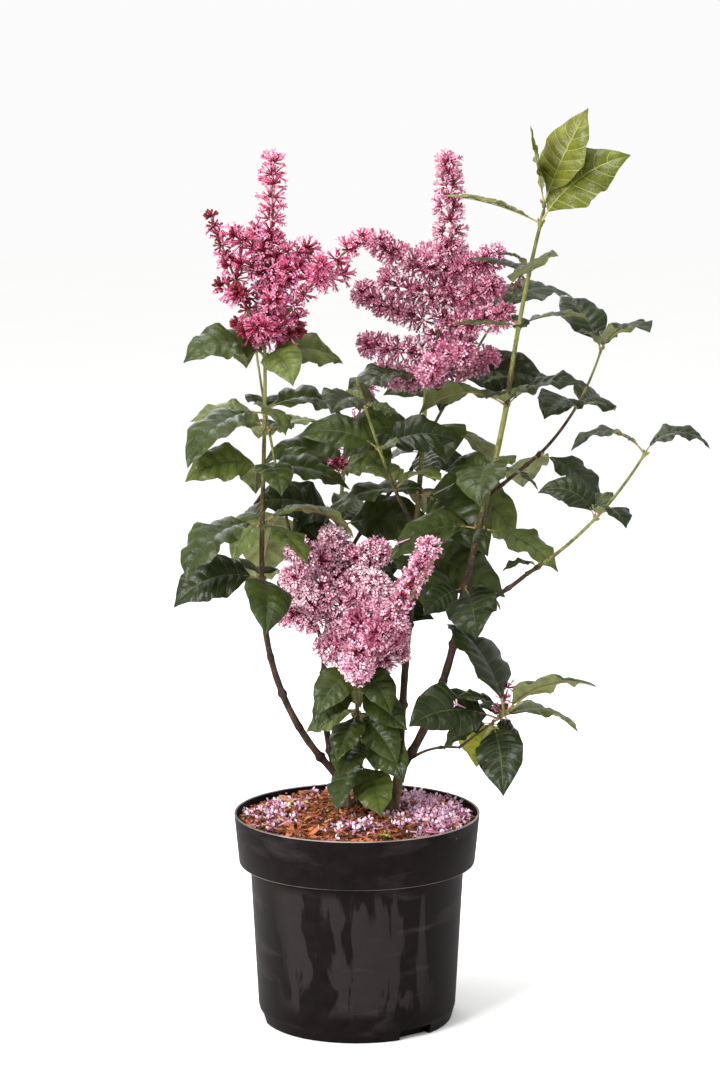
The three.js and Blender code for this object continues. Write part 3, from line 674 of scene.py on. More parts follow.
# A stem sets off from its foot on the compost, or from a share of the way along another, at a heading and at
# a lean from upright. Along its length it turns and bends by so much. thick is its width at foot and tip.
LIMBS = {
    "trunk_left": {"foot": (-14, 25), "heading": 194, "turn": -25, "lean": 9, "bend": 12, "length": 42,
                   "thick": (14.5, 12.5)},
    "trunk_right": {"foot": (40, 6), "heading": -12, "turn": 12, "lean": 11, "bend": 0, "length": 51,
                    "thick": (12.5, 11.5)},
    "front_stem": {"foot": (3, 30), "heading": -90, "turn": 0, "lean": 9, "bend": 11, "length": 49,
                   "thick": (6, 5.4)},
    "left_stem": {"from": "trunk_left", "at": 0.9, "heading": -161, "turn": 24, "lean": 44, "bend": -42,
                  "length": 248, "thick": (8.5, 6.4)},
    "back_stem": {"from": "trunk_left", "at": 0.9, "heading": 124, "turn": -75, "lean": 33, "bend": -22,
                  "length": 238, "thick": (8, 6)},
    "middle_stem": {"from": "trunk_right", "at": 0.9, "heading": 81, "turn": -23, "lean": 12, "bend": 0,
                    "length": 209, "thick": (9, 7.4)},
    "right_stem": {"from": "trunk_right", "at": 0.9, "heading": -23, "turn": -11, "lean": 33, "bend": -24,
                   "length": 217, "thick": (10, 8.4)},
    "low_bough": {"from": "trunk_right", "at": 0.97, "heading": -51, "turn": 10, "lean": 47, "bend": 40,
                  "length": 103, "thick": (3.6, 2.8)},
    "low_right_bough": {"from": "right_stem", "at": 0.96, "heading": -40, "turn": -3, "lean": 71,
                        "bend": -20, "length": 108, "thick": (5.6, 4.6)},
    "back_bough": {"from": "back_stem", "at": 0.92, "heading": 43, "turn": -23, "lean": 29, "bend": 20,
                   "length": 173, "thick": (5, 4)},
    "left_back_bough": {"from": "back_stem", "at": 0.62, "heading": 133, "turn": 18, "lean": 27,
                        "bend": -11, "length": 146, "thick": (4.8, 3.8)},
}
# A shoot also has pairs of leaves, from low to high along it. The first pair is facing one way, and each has
# a twist from the one before. The leaves' length, rise and droop go from the lowest pair's to the highest's,
# and cross is the size of the smaller pair set across each.
SHOOTS = {
    "left_foliage": {
        "from": "left_stem", "at": 1, "heading": 15, "turn": 84, "lean": 0, "bend": 6, "length": 275,
        "thick": (6.2, 3.6), "pairs": 5, "low": 0.04, "high": 0.95, "facing": 200, "twist": 0,
        "leaf": (120, 105), "cross": 0.8, "rise": (15, 30), "droop": (65, 50), "seed": 7877,
    },
    "back_foliage": {
        "from": "back_stem", "at": 1, "heading": 63, "turn": 10, "lean": 17, "bend": -7, "length": 117,
        "thick": (5.8, 4.4), "pairs": 3, "low": 0.04, "high": 0.93, "facing": 225, "twist": 40,
        "leaf": (125, 115), "cross": 1, "rise": (-10, 70), "droop": (5, 55), "seed": 9814,
    },
    "front_foliage": {
        "from": "front_stem", "at": 1, "heading": -98, "turn": 8, "lean": 17, "bend": 12, "length": 160,
        "thick": (5.3, 4), "pairs": 5, "low": 0.04, "high": 0.86, "facing": 150, "twist": -90,
        "leaf": (85, 80), "cross": 1, "rise": (-10, -10), "droop": (50, 60), "seed": 1725,
    },
    "middle_foliage": {
        "from": "middle_stem", "at": 1, "heading": 80, "turn": -66, "lean": 11, "bend": -9,
        "length": 237, "thick": (7.2, 4.8), "pairs": 4, "low": 0.19, "high": 0.99, "facing": 150,
        "twist": 30, "leaf": (125, 110), "cross": 1, "rise": (0, 40), "droop": (50, 60), "seed": 8629,
    },
    "right_foliage": {
        "from": "right_stem", "at": 1, "heading": -38, "turn": 66, "lean": 14, "bend": -2,
        "length": 230, "thick": (8.2, 6), "pairs": 4, "low": 0.08, "high": 0.99, "facing": 100,
        "twist": 70, "leaf": (115, 115), "cross": 0.55, "rise": (-10, 45), "droop": (50, 35),
        "seed": 2993,
    },
    "top_foliage": {
        "from": "right_foliage", "at": 1, "heading": 28, "turn": 5, "lean": 8, "bend": 9, "length": 221,
        "thick": (5.6, 3.8), "pairs": 4, "low": 0.14, "high": 0.92, "facing": 275, "twist": 90,
        "leaf": (70, 120), "cross": 0.45, "rise": (-10, 45), "cross_rise": 60, "droop": (20, 0),
        "seed": 3168,
    },
    "tip_foliage": {
        "from": "top_foliage", "at": 1, "heading": 180, "turn": 0, "lean": 6, "bend": 0, "length": 8,
        "thick": (3.6, 3), "pairs": 1, "low": 0.6, "high": 0.6, "facing": 10, "twist": 0,
        "leaf": (105, 105), "cross": 0.3, "rise": (80, 80), "droop": (-60, -60), "seed": 7353,
    },
    "low_right_foliage": {
        "from": "low_right_bough", "at": 1, "heading": -39, "turn": 11, "lean": 59, "bend": -28,
        "length": 211, "thick": (4.4, 2.8), "pairs": 3, "low": 0.08, "high": 0.97, "facing": 300,
        "twist": 25, "leaf": (70, 95), "cross": 0.7, "rise": (55, 70), "droop": (35, 50), "seed": 8811,
    },
    "high_right_foliage": {
        "from": "high_right_bough", "at": 1, "heading": 43, "turn": 12, "lean": 61, "bend": -29,
        "length": 169, "thick": (3.9, 2.6), "pairs": 3, "low": 0.04, "high": 0.99, "facing": 340,
        "twist": 80, "leaf": (100, 100), "cross": 0.45, "rise": (-10, 70), "droop": (55, 5),
        "seed": 3343,
    },
    "far_foliage": {
        "from": "back_bough", "at": 1, "heading": 35, "turn": -17, "lean": 32, "bend": 3, "length": 248,
        "thick": (3.9, 2.6), "pairs": 3, "low": 0.1, "high": 0.85, "facing": 85, "twist": 75,
        "leaf": (80, 125), "cross": 0.95, "rise": (-5, 65), "droop": (45, 40), "seed": 3304,
    },
    "arching_foliage": {
        "from": "arching_bough", "at": 1, "heading": -111, "turn": -9, "lean": 47, "bend": -19,
        "length": 189, "thick": (4, 2.8), "pairs": 3, "low": 0.11, "high": 0.82, "facing": 100,
        "twist": 75, "leaf": (80, 95), "cross": 0.45, "rise": (35, 10), "droop": (10, 25), "seed": 3777,
    },
    "low_foliage": {
        "from": "low_bough", "at": 1, "heading": -49, "turn": -1, "lean": 55, "bend": 2, "length": 126,
        "thick": (2.8, 2.2), "pairs": 3, "low": 0.51, "high": 0.7, "facing": 115, "twist": 85,
        "leaf": (115, 125), "cross": 0.55, "rise": (-10, 65), "droop": (65, 0), "seed": 9878,
    },
    "left_back_foliage": {
        "from": "left_back_bough", "at": 1, "heading": 145, "turn": 29, "lean": 15, "bend": -8,
        "length": 236, "thick": (3.7, 2.6), "pairs": 3, "low": 0.1, "high": 0.91, "facing": 105,
        "twist": 75, "leaf": (125, 70), "cross": 0.85, "rise": (-10, 70), "droop": (65, 5),
        "seed": 1357,
    },
}
SIDE_BOUGHS = {
    "high_right_bough": {"from": "right_foliage", "at": 0.54, "heading": 44, "turn": 9, "lean": 64,
                         "bend": 7, "length": 95, "thick": (4.6, 4)},
    "arching_bough": {"from": "middle_foliage", "at": 0.21, "heading": -92, "turn": -31, "lean": 45,
                      "bend": 1, "length": 85, "thick": (4.6, 4.2)},
}
RING_STEP = 2.4
FOOT_SUNK = 3
TRUNK_SIDES = 24
STEM_SIDES = 16
KNOT = {"apart": 46, "first": 30, "first_over_soil": 24, "last": 8, "swell": 0.17, "half_length": 3.2,
        "scar": 0.42}
RIDGES = 0.045
WINDING = {"broad": 31, "narrow": 19, "bumps": 4.3}
TIP_CLOSES = (0.85, 0.35)
COLLAR = {"spread": 0.4, "length": 4}
SPUR = {"from": "right_stem", "at": 0.34, "heading": 170, "turn": 30, "lean": 22, "bend": -14, "length": 21,
        "thick": (2.2, 1.2)}


def direction(heading, lean):
    """The way of a heading round from +X and a lean from upright, both in degrees."""
    heading, lean = math.radians(heading), math.radians(lean)
    return np.array([math.cos(heading) * math.sin(lean), math.sin(heading) * math.sin(lean), math.cos(lean)])


def centre_line(start, arc, steps=STEPS):
    """An arc that sets off at a heading and a lean from upright, both changing evenly along it."""
    line = [np.array(start, dtype=float)]
    for i in range(steps):
        part = (i + 0.5) / steps
        onward = direction(arc["heading"] + arc["turn"] * part, arc["lean"] + arc["bend"] * part)
        line.append(line[i] + onward * arc["length"] / steps)
    return np.array(line)


def point_along(line, fraction):
    """The point at a fraction of the way along a line."""
    place = min(fraction, 0.999999) * (len(line) - 1)
    i = int(place)
    return line[i] + (line[i + 1] - line[i]) * (place - i)


def onward_at(line, i):
    """The direction of a line at one of its points."""
    return unit(line[min(i + 1, len(line) - 1)] - line[max(i - 1, 0)])


stems = {}
taken = []


def thick_at(size, share):
    """A stem's thickness at a share of its length."""
    foot, tip = size["thick"]
    return foot + (tip - foot) * share


def lay_stems(sizes):
    """Lays each stem's line once the one that it grows from is there, and claims the room that it takes."""
    waiting = dict(sizes)
    while waiting:
        for name, size in list(waiting.items()):
            if size.get("from") in waiting:
                continue
            if "foot" in size:
                start = (*size["foot"], SOIL_HEIGHT + SOIL_GAP)
            else:
                start = point_along(stems[size["from"]]["line"], size["at"])
            line = centre_line(start, size)
            stems[name] = {"line": line, "size": size}
            taken.extend((*point, thick_at(size, i / STEPS) / 2, name) for i, point in enumerate(line))
            del waiting[name]


def stem_skin(name, sides, knots, ridges, swell, scar):
    """The skin of a stem, finely ringed, swollen at its knots and ridged along its length. Each knot has two
    scars, set square to the pair before, and the stem closes in at its tip."""
    line, size = stems[name]["line"], stems[name]["size"]
    steps = max(8, round(size["length"] / RING_STEP))
    fine = centre_line(line[0], size, steps)
    if "foot" in size:
        fine[0][2] = soil_top(*fine[0][:2]) - FOOT_SUNK
    along = np.linspace(0, 1, steps + 1)[:, None] * size["length"]
    around = (np.arange(sides) * 2 * np.pi / sides)[None, :]
    shape = np.ones((steps + 1, sides))
    if "foot" in size:
        shape += FLARE["spread"] * np.exp(-along / FLARE["height"])
    else:
        shape += COLLAR["spread"] * np.exp(-along / COLLAR["length"])
    phase = 7 * len(name)
    for k, knot in enumerate(knots):
        near = np.exp(-(((along - knot) / KNOT["half_length"]) ** 2))
        facing = np.abs(np.cos(around - phase - k * np.pi / 2)) ** 6
        shape += near * (swell + scar * facing)
    broad = np.sin(3 * around + along / WINDING["broad"] + phase)
    narrow = np.sin(5 * around - along / WINDING["narrow"])
    shape += ridges * (broad + 0.6 * narrow)
    shape += ridges * 0.8 * np.sin(along / WINDING["bumps"] + 2 * around + phase)
    shape[-2:] *= np.array(TIP_CLOSES)[:, None]
    radii = thick_at(size, along / size["length"]) / 2 * shape
    return tube(fine, radii, sides)


def bark_finish(name, dark, light, dots, dot_colour):
    """Dull bark with streaks along it and small pale breathing dots."""
    material = natural_finish(
        name, dark, light, 110, stretch=(1, 1, 0.22), rough=(0.6, 0.85), relief=(0.7, 0.6), shine=0.14
    )
    spots = material.node_tree.nodes.new("ShaderNodeTexVoronoi")
    spots.inputs["Scale"].default_value = dots
    material.node_tree.links.new(where_on(material), spots.inputs["Vector"])
    painted_over(material, ramped(material, spots.outputs["Distance"], (0.1, 0.2), (0.8, 0)), dot_colour)
    return material


lay_stems({**LIMBS, **SHOOTS, **SIDE_BOUGHS})
brown_bark = bark_finish("brown_bark", paint(31, 22, 17), paint(72, 54, 44), 260, paint(112, 94, 80))
old_bark = bark_finish("old_bark", paint(62, 51, 36), paint(116, 98, 74), 240, paint(150, 134, 108))
for name, size in {**LIMBS, **SIDE_BOUGHS}.items():
    is_trunk = name.startswith("trunk")
    first_knot = KNOT["first_over_soil"] if "foot" in size else KNOT["first"]
    knots = np.arange(first_knot, size["length"] - KNOT["last"], KNOT["apart"])
    sides = TRUNK_SIDES if is_trunk else STEM_SIDES
    skin_points, skin_faces = stem_skin(name, sides, knots, RIDGES, KNOT["swell"], KNOT["scar"])
    bark = mesh_piece(f"{name}_bark", skin_points, skin_faces, [old_bark if is_trunk else brown_bark])
    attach(bark, "root")
    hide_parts(name)

spur_line = centre_line(point_along(stems[SPUR["from"]]["line"], SPUR["at"]), SPUR)[::3]
spur_points, spur_faces = tube(spur_line, np.linspace(*SPUR["thick"], len(spur_line)) / 2, 8)
dead_spur = mesh_piece("dead_spur", spur_points, spur_faces, [brown_bark])
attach(dead_spur, "root")

# ---- The green shoots ----
# Above the wood each stem goes on as this year's shoot, thinner and smoother. It is brown at its foot and
# turns green towards its tip, and is thickened where a pair of leaves stands on it, with a small brown bud
# in each leaf's armpit.
SHOOT_SIDES = 12
SHOOT_RIDGES = 0.03
SHOOT_KNOT = {"swell": 0.22, "scar": 0.5}
BUD = {"length": 6, "radius": 1.5, "sides": 7, "lean": 24, "sunk": 0.45}
BUD_PROFILE = {"along": [0, 0.2, 0.45, 0.75, 1.0], "fat": [0.5, 0.95, 1, 0.6, 0.08]}
PATCHY = 0.12
# How far ahead of the others some shoots are in turning green.
GREENER = {"top_foliage": 0.5, "tip_foliage": 1.0, "low_right_foliage": 0.4, "arching_foliage": 0.35,
           "left_foliage": 0.1, "left_back_foliage": 0.3, "far_foliage": 0.2}


def bud_skin(root, onward):
    """A small pointed bud that stands on its root."""
    line = root + np.outer(BUD_PROFILE["along"], onward * BUD["length"])
    return tube(line, np.array(BUD_PROFILE["fat"]) * BUD["radius"], BUD["sides"])


def pair_places(size):
    """How far along its shoot each pair of leaves stands."""
    shares = np.arange(size["pairs"]) / max(1, size["pairs"] - 1)
    return size["low"] + (size["high"] - size["low"]) * shares


# The finishes that a shoot goes through from foot to tip, changing a little earlier or later face by face.
RIPENING = [
    brown_bark,
    bark_finish("dark_olive_bark", paint(42, 35, 22), paint(80, 70, 45), 300, paint(120, 108, 78)),
    bark_finish("olive_bark", paint(58, 54, 28), paint(102, 99, 58), 300, paint(146, 138, 96)),
    bark_finish("green_bark", paint(80, 82, 40), paint(126, 129, 74), 300, paint(164, 160, 108)),
]
bud_scale = natural_finish("bud_scale", paint(84, 56, 34), paint(128, 104, 60), 300, rough=(0.4, 0.6))
shoot_skins, bud_skins, ripeness = [], [], []
for name, size in SHOOTS.items():
    places = pair_places(size)
    skin = stem_skin(
        name, SHOOT_SIDES, places * size["length"], SHOOT_RIDGES, SHOOT_KNOT["swell"], SHOOT_KNOT["scar"]
    )
    shoot_skins.append(skin)
    face_count = len(skin[1])
    patchy = np.random.default_rng(size["seed"]).uniform(-PATCHY, PATCHY, face_count)
    green = np.arange(face_count) / face_count + patchy + GREENER.get(name, 0)
    ripeness.append(np.clip(green * len(RIPENING), 0, len(RIPENING) - 1).astype(int))
    line = stems[name]["line"]
    for k, place in enumerate(places):
        root, onward = point_along(line, place), onward_at(line, round(place * STEPS))
        for turn in (0, 180):
            out = direction(size["facing"] + size["twist"] * k + turn, 90)
            out = unit(out - onward * (out @ onward))
            lean = math.radians(BUD["lean"])
            heading = onward * math.cos(lean) + out * math.sin(lean)
            bud_skins.append(bud_skin(root + out * thick_at(size, place) * BUD["sunk"], heading))
shoot_points, shoot_faces = joined(shoot_skins)
green_shoots = mesh_piece("green_shoots", shoot_points, shoot_faces, RIPENING, np.concatenate(ripeness))
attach(green_shoots, "root")
bud_points, bud_faces = joined(bud_skins)
leaf_buds = mesh_piece("leaf_buds", bud_points, bud_faces, [bud_scale])
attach(leaf_buds, "root")

# ---- The blossom ----
# Each panicle is a stalk with whorls of three thin arms, set all round with long-tubed florets that open in
# four hooded lobes. The left ones are rose with dark buds, the middle one mauve, the front one palest.
ARMS_IN_WHORL = 3
# The whorls stand up to the shoulder. reach is how long the lowest arms are, and cone how much shorter they
# get up the panicle. Florets reach as far as head from the middle of an arm, and as tip from the spire's.
PANICLES = {
    "left_bud_arm": {
        "from": "left_foliage", "at": 0.98, "heading": -175, "turn": 0, "lean": 23, "bend": -2,
        "length": 158, "whorls": 2, "reach": 38, "cone": 0.7, "shoulder": 0.64, "head": 16, "tip": 14,
        "seed": 67,
    },
    "left_rose_arm": {
        "from": "left_foliage", "at": 1, "heading": -24, "turn": 0, "lean": 37, "bend": 14,
        "length": 168, "whorls": 2, "reach": 38, "cone": 0, "shoulder": 0.88, "head": 15, "tip": 13,
        "seed": 909,
    },
    "left_panicle": {
        "from": "left_foliage", "at": 1, "heading": 60, "turn": 0, "lean": 8, "bend": -4, "length": 200,
        "whorls": 6, "reach": 44, "cone": 0.1, "shoulder": 0.56, "head": 17, "tip": 18, "seed": 914,
    },
    "small_panicle": {
        "from": "back_foliage", "at": 1, "heading": 60, "turn": 0, "lean": 24, "bend": 17,
        "length": 128, "whorls": 2, "reach": 18, "cone": 0.5, "shoulder": 0.68, "head": 12, "tip": 12,
        "seed": 505,
    },
    "middle_panicle": {
        "from": "middle_foliage", "at": 1, "heading": 52, "turn": 0, "lean": 26, "bend": -28,
        "length": 250, "whorls": 5, "reach": 79, "cone": 0, "shoulder": 0.6, "head": 17, "tip": 23,
        "seed": 769,
    },
    "front_side_arm": {
        "from": "front_foliage", "at": 1, "heading": -54, "turn": 0, "lean": 60, "bend": -22,
        "length": 190, "whorls": 2, "reach": 42, "cone": 0.8, "shoulder": 0.4, "head": 20, "tip": 14,
        "seed": 583,
    },
    "front_panicle": {
        "from": "front_foliage", "at": 0.9, "heading": 106, "turn": 12, "lean": 51, "bend": -40,
        "length": 154, "whorls": 6, "reach": 54, "cone": 0.2, "shoulder": 0.88, "head": 25, "tip": 17,
        "seed": 906,
    },
    "far_bud": {
        "from": "far_foliage", "at": 1, "heading": 20, "turn": 0, "lean": 30, "bend": -10, "length": 30,
        "whorls": 0, "reach": 0, "cone": 0, "shoulder": 0.2, "head": 13, "tip": 10, "seed": 38,
    },
    "low_bud": {
        "from": "low_foliage", "at": 0.62, "heading": 60, "turn": 0, "lean": 40, "bend": -10,
        "length": 36, "whorls": 0, "reach": 0, "cone": 0, "shoulder": 0.2, "head": 13, "tip": 12,
        "seed": 39,
    },
}
AXIS = {"thick": (4, 1.8), "sides": 8, "first_knot": 10, "last_knot": 6, "knots_apart": 26, "scar": 0.2}
SHORTENED = [1, 0.75, 0.5]
ARM = {"first": 0.3, "lean": 86, "bend": -18, "rise": 0.35, "heading": 40, "vary_lean": 20,
       "vary_length": 0.25, "tests": [0.5, 0.8, 1], "gap": 2, "keep": 0.5, "thick": (1.9, 0.8), "sides": 6}
# The spire is the axis above its shoulder. Its tufts stand a little closer than an arm's, and shorter
# towards its tip, while those on the axis between the whorls stand wider apart.
SPIRE = {"open": 0.95, "taper": 0.4, "inner_from": 0.12, "inner_open": 1.4}


def seeded_numbers(seed):
    """The same even spread of numbers from 0 to 1, in the same order, for the same seed."""
    state = seed
    while True:
        state = (state * 1664525 + 1013904223) % 2**32
        yield state / 2**32


def is_clear(points, gap, owner):
    """Whether points keep a gap from all that is taken, apart from what their owner took."""
    spots = np.array([spot[:4] for spot in taken if spot[4] != owner])
    away = np.linalg.norm(np.asarray(points)[:, None] - spots[None, :, :3], axis=2)
    return bool((away > gap + spots[:, 3]).all())


def arms_of(name):
    """A panicle's side arms in whorls up to its shoulder, shorter up a cone, and the spire above them."""
    line, size = stems[name]["line"], stems[name]["size"]
    draw = seeded_numbers(size["seed"])
    arms = []
    for whorl in range(size["whorls"]):
        share = size["shoulder"] * (whorl + ARM["first"]) / size["whorls"]
        for i in range(ARMS_IN_WHORL):
            heading = GOLDEN_ANGLE * whorl + 360 * i / ARMS_IN_WHORL + ARM["heading"] * next(draw)
            lean = ARM["lean"] * (1 - ARM["rise"] * share) + ARM["vary_lean"] * next(draw)
            shrunk = 1 - size["cone"] * whorl / size["whorls"]
            length = size["reach"] * shrunk * (1 + ARM["vary_length"] * (2 * next(draw) - 1))
            arms.append({
                "start": point_along(line, share),
                "heading": heading,
                "turn": 0,
                "lean": lean,
                "bend": ARM["bend"],
                "length": length,
                "head": size["head"],
                "side": True,
                "open": 1,
                "taper": 0,
                "paler": 0,
            })
    arms.append({
        "start": point_along(line, size["shoulder"]),
        "heading": size["heading"] + size["turn"],
        "turn": 0,
        "lean": size["lean"] + size["bend"],
        "bend": 0,
        "length": size["length"] * (1 - size["shoulder"]),
        "head": size["tip"],
        "side": False,
        "open": SPIRE["open"],
        "taper": SPIRE["taper"],
        "paler": 1,
    })
    return arms


def inner_arm(name):
    """The stretch of the axis between the lowest whorl and the shoulder, which bears looser tufts itself."""
    line, size = stems[name]["line"], stems[name]["size"]
    low, high = SPIRE["inner_from"] * size["shoulder"], size["shoulder"]
    return {
        "start": point_along(line, low),
        "heading": size["heading"] + size["turn"] * low,
        "turn": size["turn"] * (high - low),
        "lean": size["lean"] + size["bend"] * low,
        "bend": size["bend"] * (high - low),
        "length": size["length"] * (high - low),
        "head": size["head"],
        "side": False,
        "open": SPIRE["inner_open"],
        "taper": 0,
        "paler": 0,
    }


def room_for_arm(arm, name):
    """The arm as it can grow, shortened where something else is in its way, or nothing."""
    for share in SHORTENED:
        shorter = {**arm, "length": arm["length"] * share}
        line = centre_line(shorter["start"], shorter)
        points = [point_along(line, part) for part in ARM["tests"]]
        if is_clear(points, ARM["gap"], name):
            taken.extend((*point, arm["head"] * ARM["keep"], name) for point in points)
            return shorter
    return None


TUBE, LOBE, THROAT, FOOT = range(4)
TUBE_SIDES = 5
# The tube's rings, by their share of its mouth and of its length.
TUBE_RINGS = [(0.42, 0), (0.72, 0.55), (1.0, 1)]
THROAT_AT = 0.93
LOBES = 4
FIRST_LOBE_TURN = 20
SHUT_PROFILE = {"along": [0, 0.55, 0.78, 0.92, 1], "fat": [0.4, 0.6, 1.15, 1.05, 0.3]}


def open_floret(length, mouth, lobe, spread):
    """A five-sided tube with its foot and its dark throat, and four lobes that are folded down the middle
    and hooded at the tip. spread is how far the lobes turn out."""
    points, faces, parts = [], [], []
    turns = np.arange(TUBE_SIDES) * 2 * np.pi / TUBE_SIDES
    for share, height in TUBE_RINGS:
        radius = share * mouth
        points += [(radius * math.cos(turn), radius * math.sin(turn), height * length) for turn in turns]
    for ring, part in ((0, FOOT), (TUBE_SIDES, TUBE)):
        for i in range(TUBE_SIDES):
            j = (i + 1) % TUBE_SIDES
            faces.append((ring + i, ring + j, ring + TUBE_SIDES + j, ring + TUBE_SIDES + i))
            parts.append(part)
    rim, bottom = 2 * TUBE_SIDES, 3 * TUBE_SIDES
    points.append((0, 0, THROAT_AT * length))
    for i in range(TUBE_SIDES):
        faces.append((rim + i, rim + (i + 1) % TUBE_SIDES, bottom))
        parts.append(THROAT)
    out, ahead = math.sin(math.radians(spread)), math.cos(math.radians(spread))
    for k in range(LOBES):
        turn = math.radians(90 * k + FIRST_LOBE_TURN)
        c, s = math.cos(turn), math.sin(turn)
        across = 0.4 * lobe
        flat = [
            (0.85 * mouth, -0.55 * mouth, 0),
            (0.85 * mouth, 0.55 * mouth, 0),
            (0.9 * mouth + 0.55 * lobe * out, -across, 0.6 * lobe * ahead),
            (0.9 * mouth + 0.62 * lobe * out, 0, 0.5 * lobe * ahead - 0.1 * lobe),
            (0.9 * mouth + 0.55 * lobe * out, across, 0.6 * lobe * ahead),
            (0.9 * mouth + 0.95 * lobe * out, 0, lobe * ahead + 0.12 * lobe),
        ]
        first = len(points)
        points += [(x * c - y * s, x * s + y * c, length + z) for x, y, z in flat]
        for corners in ((0, 2, 3), (0, 3, 1), (1, 3, 4), (2, 5, 3), (3, 5, 4)):
            faces.append(tuple(first + corner for corner in corners))
            parts.append(LOBE)
    return np.array(points), faces, parts


def floret_bud(length, mouth):
    """A floret still shut: a slim tube with a club-shaped end."""
    line = [(0, 0, share * length) for share in SHUT_PROFILE["along"]]
    points, faces = tube(line, [mouth * radius for radius in SHUT_PROFILE["fat"]], TUBE_SIDES)
    parts = [FOOT if i < TUBE_SIDES else LOBE for i in range(len(faces))]
    return points, faces, parts


def set_out(shape, roots, onwards, rolls, sizes, kinds):
    """Copies of one floret, each stood on its root along its direction. kinds gives the finish of each
    part of each copy."""
    points, faces, parts = shape
    start = np.where(np.abs(onwards[:, :1]) < 0.9, [[1.0, 0, 0]], [[0, 1.0, 0]])
    across = unit(start - onwards * np.sum(start * onwards, axis=1, keepdims=True))
    up = np.cross(onwards, across)
    c, s = np.cos(rolls)[:, None], np.sin(rolls)[:, None]
    axes = (across * c + up * s, up * c - across * s, onwards)
    placed = roots[:, None, :]
    for k in range(3):
        placed = placed + (points[:, k][None, :, None] * sizes[:, None, None]) * axes[k][:, None, :]
    count = len(points)
    all_faces = []
    for i in range(len(roots)):
        all_faces += [[corner + i * count for corner in face] for face in faces]
    finishes = kinds[:, parts].reshape(-1)
    return placed.reshape(-1, 3), all_faces, finishes


def petal(name, deep, light):
    """The soft, finely mottled skin of a floret."""
    return natural_finish(name, deep, light, 180, rough=(0.5, 0.7), relief=(0.25, 0.15), shine=0.2)


# The finishes are a tube's foot, darkened as painted shade deep in the tuft, a throat, a dark bud, three
# lobes from deep to light, and three tubes from deep to light. A tuft is so many florets, opening in a cone
# of so many degrees. The tufts stand apart by so many millimetres, from a given share of a side arm's length
# to its tip.
# buds is the share of shut florets.
FLORET_SHADED_FOOT, FLORET_THROAT, FLORET_BUD, FIRST_LOBE, FIRST_TUBE = 0, 1, 2, 3, 6
BLOSSOM = {
    "rose": {
        "finishes": [
            petal("rose_shaded_foot", paint(114, 24, 50), paint(146, 42, 74)),
            petal("rose_throat", paint(112, 32, 58), paint(140, 52, 80)),
            petal("rose_bud", paint(84, 16, 28), paint(124, 34, 50)),
            petal("rose_lobe_deep", paint(168, 76, 110), paint(188, 100, 130)),
            petal("rose_lobe", paint(190, 108, 140), paint(206, 132, 160)),
            petal("rose_lobe_light", paint(208, 146, 172), paint(220, 170, 190)),
            petal("rose_tube_deep", paint(150, 44, 80), paint(174, 66, 102)),
            petal("rose_tube", paint(168, 62, 98), paint(188, 86, 120)),
            petal("rose_tube_light", paint(190, 96, 130), paint(208, 126, 154)),
        ],
        "lobe_shares": [0.42, 0.38, 0.2], "tube_shares": [0.4, 0.4, 0.2],
        "length": 14.5, "mouth": 1.35, "lobe": 3.3, "spread": 50, "tuft": 9, "apart": 13, "buds": 0.12,
        "from": 0.2, "cone": 76,
    },
    "mauve": {
        "finishes": [
            petal("mauve_shaded_foot", paint(102, 32, 52), paint(134, 52, 76)),
            petal("mauve_throat", paint(112, 44, 66), paint(140, 64, 88)),
            petal("mauve_bud", paint(104, 32, 48), paint(138, 56, 74)),
            petal("mauve_lobe_deep", paint(166, 92, 120), paint(184, 116, 141)),
            petal("mauve_lobe", paint(188, 122, 147), paint(204, 146, 167)),
            petal("mauve_lobe_light", paint(208, 160, 178), paint(220, 181, 195)),
            petal("mauve_tube_deep", paint(138, 54, 82), paint(160, 76, 104)),
            petal("mauve_tube", paint(156, 70, 100), paint(176, 92, 120)),
            petal("mauve_tube_light", paint(184, 108, 134), paint(200, 132, 156)),
        ],
        "lobe_shares": [0.34, 0.4, 0.26], "tube_shares": [0.34, 0.4, 0.26],
        "length": 14, "mouth": 1.4, "lobe": 3.6, "spread": 56, "tuft": 13, "apart": 13, "buds": 0.03,
        "from": 0.2, "cone": 80,
    },
    "pale": {
        "finishes": [
            petal("pale_shaded_foot", paint(98, 28, 50), paint(130, 48, 74)),
            petal("pale_throat", paint(122, 40, 64), paint(152, 62, 88)),
            petal("pale_bud", paint(136, 46, 74), paint(172, 82, 108)),
            petal("pale_lobe_deep", paint(194, 132, 156), paint(210, 156, 176)),
            petal("pale_lobe", paint(218, 172, 188), paint(231, 191, 204)),
            petal("pale_lobe_light", paint(233, 204, 214), paint(242, 218, 226)),
            petal("pale_tube_deep", paint(136, 54, 80), paint(160, 78, 104)),
            petal("pale_tube", paint(162, 84, 112), paint(184, 108, 134)),
            petal("pale_tube_light", paint(186, 118, 144), paint(204, 142, 164)),
        ],
        "lobe_shares": [0.3, 0.42, 0.28], "tube_shares": [0.34, 0.42, 0.24],
        "length": 13.5, "mouth": 1.2, "lobe": 3.7, "spread": 62, "tuft": 30, "apart": 13, "buds": 0.02,
        "from": 0.45, "cone": 98,
    },
}
BLOSSOM_OF = {
    "left_panicle": "rose", "left_bud_arm": "rose", "left_rose_arm": "rose", "small_panicle": "rose",
    "far_bud": "rose", "low_bud": "rose", "middle_panicle": "mauve", "front_side_arm": "mauve",
    "front_panicle": "pale",
}
# The masses that have more florets in bud, and what share of them.
STILL_SHUT = {"left_bud_arm": 0.65, "far_bud": 1, "low_bud": 0.25, "small_panicle": 0.45}
HALF_OPEN = {"share": 0.35, "length": 0.94, "lobe": 0.9, "spread": 0.4}
SHUT_LENGTH = 0.75
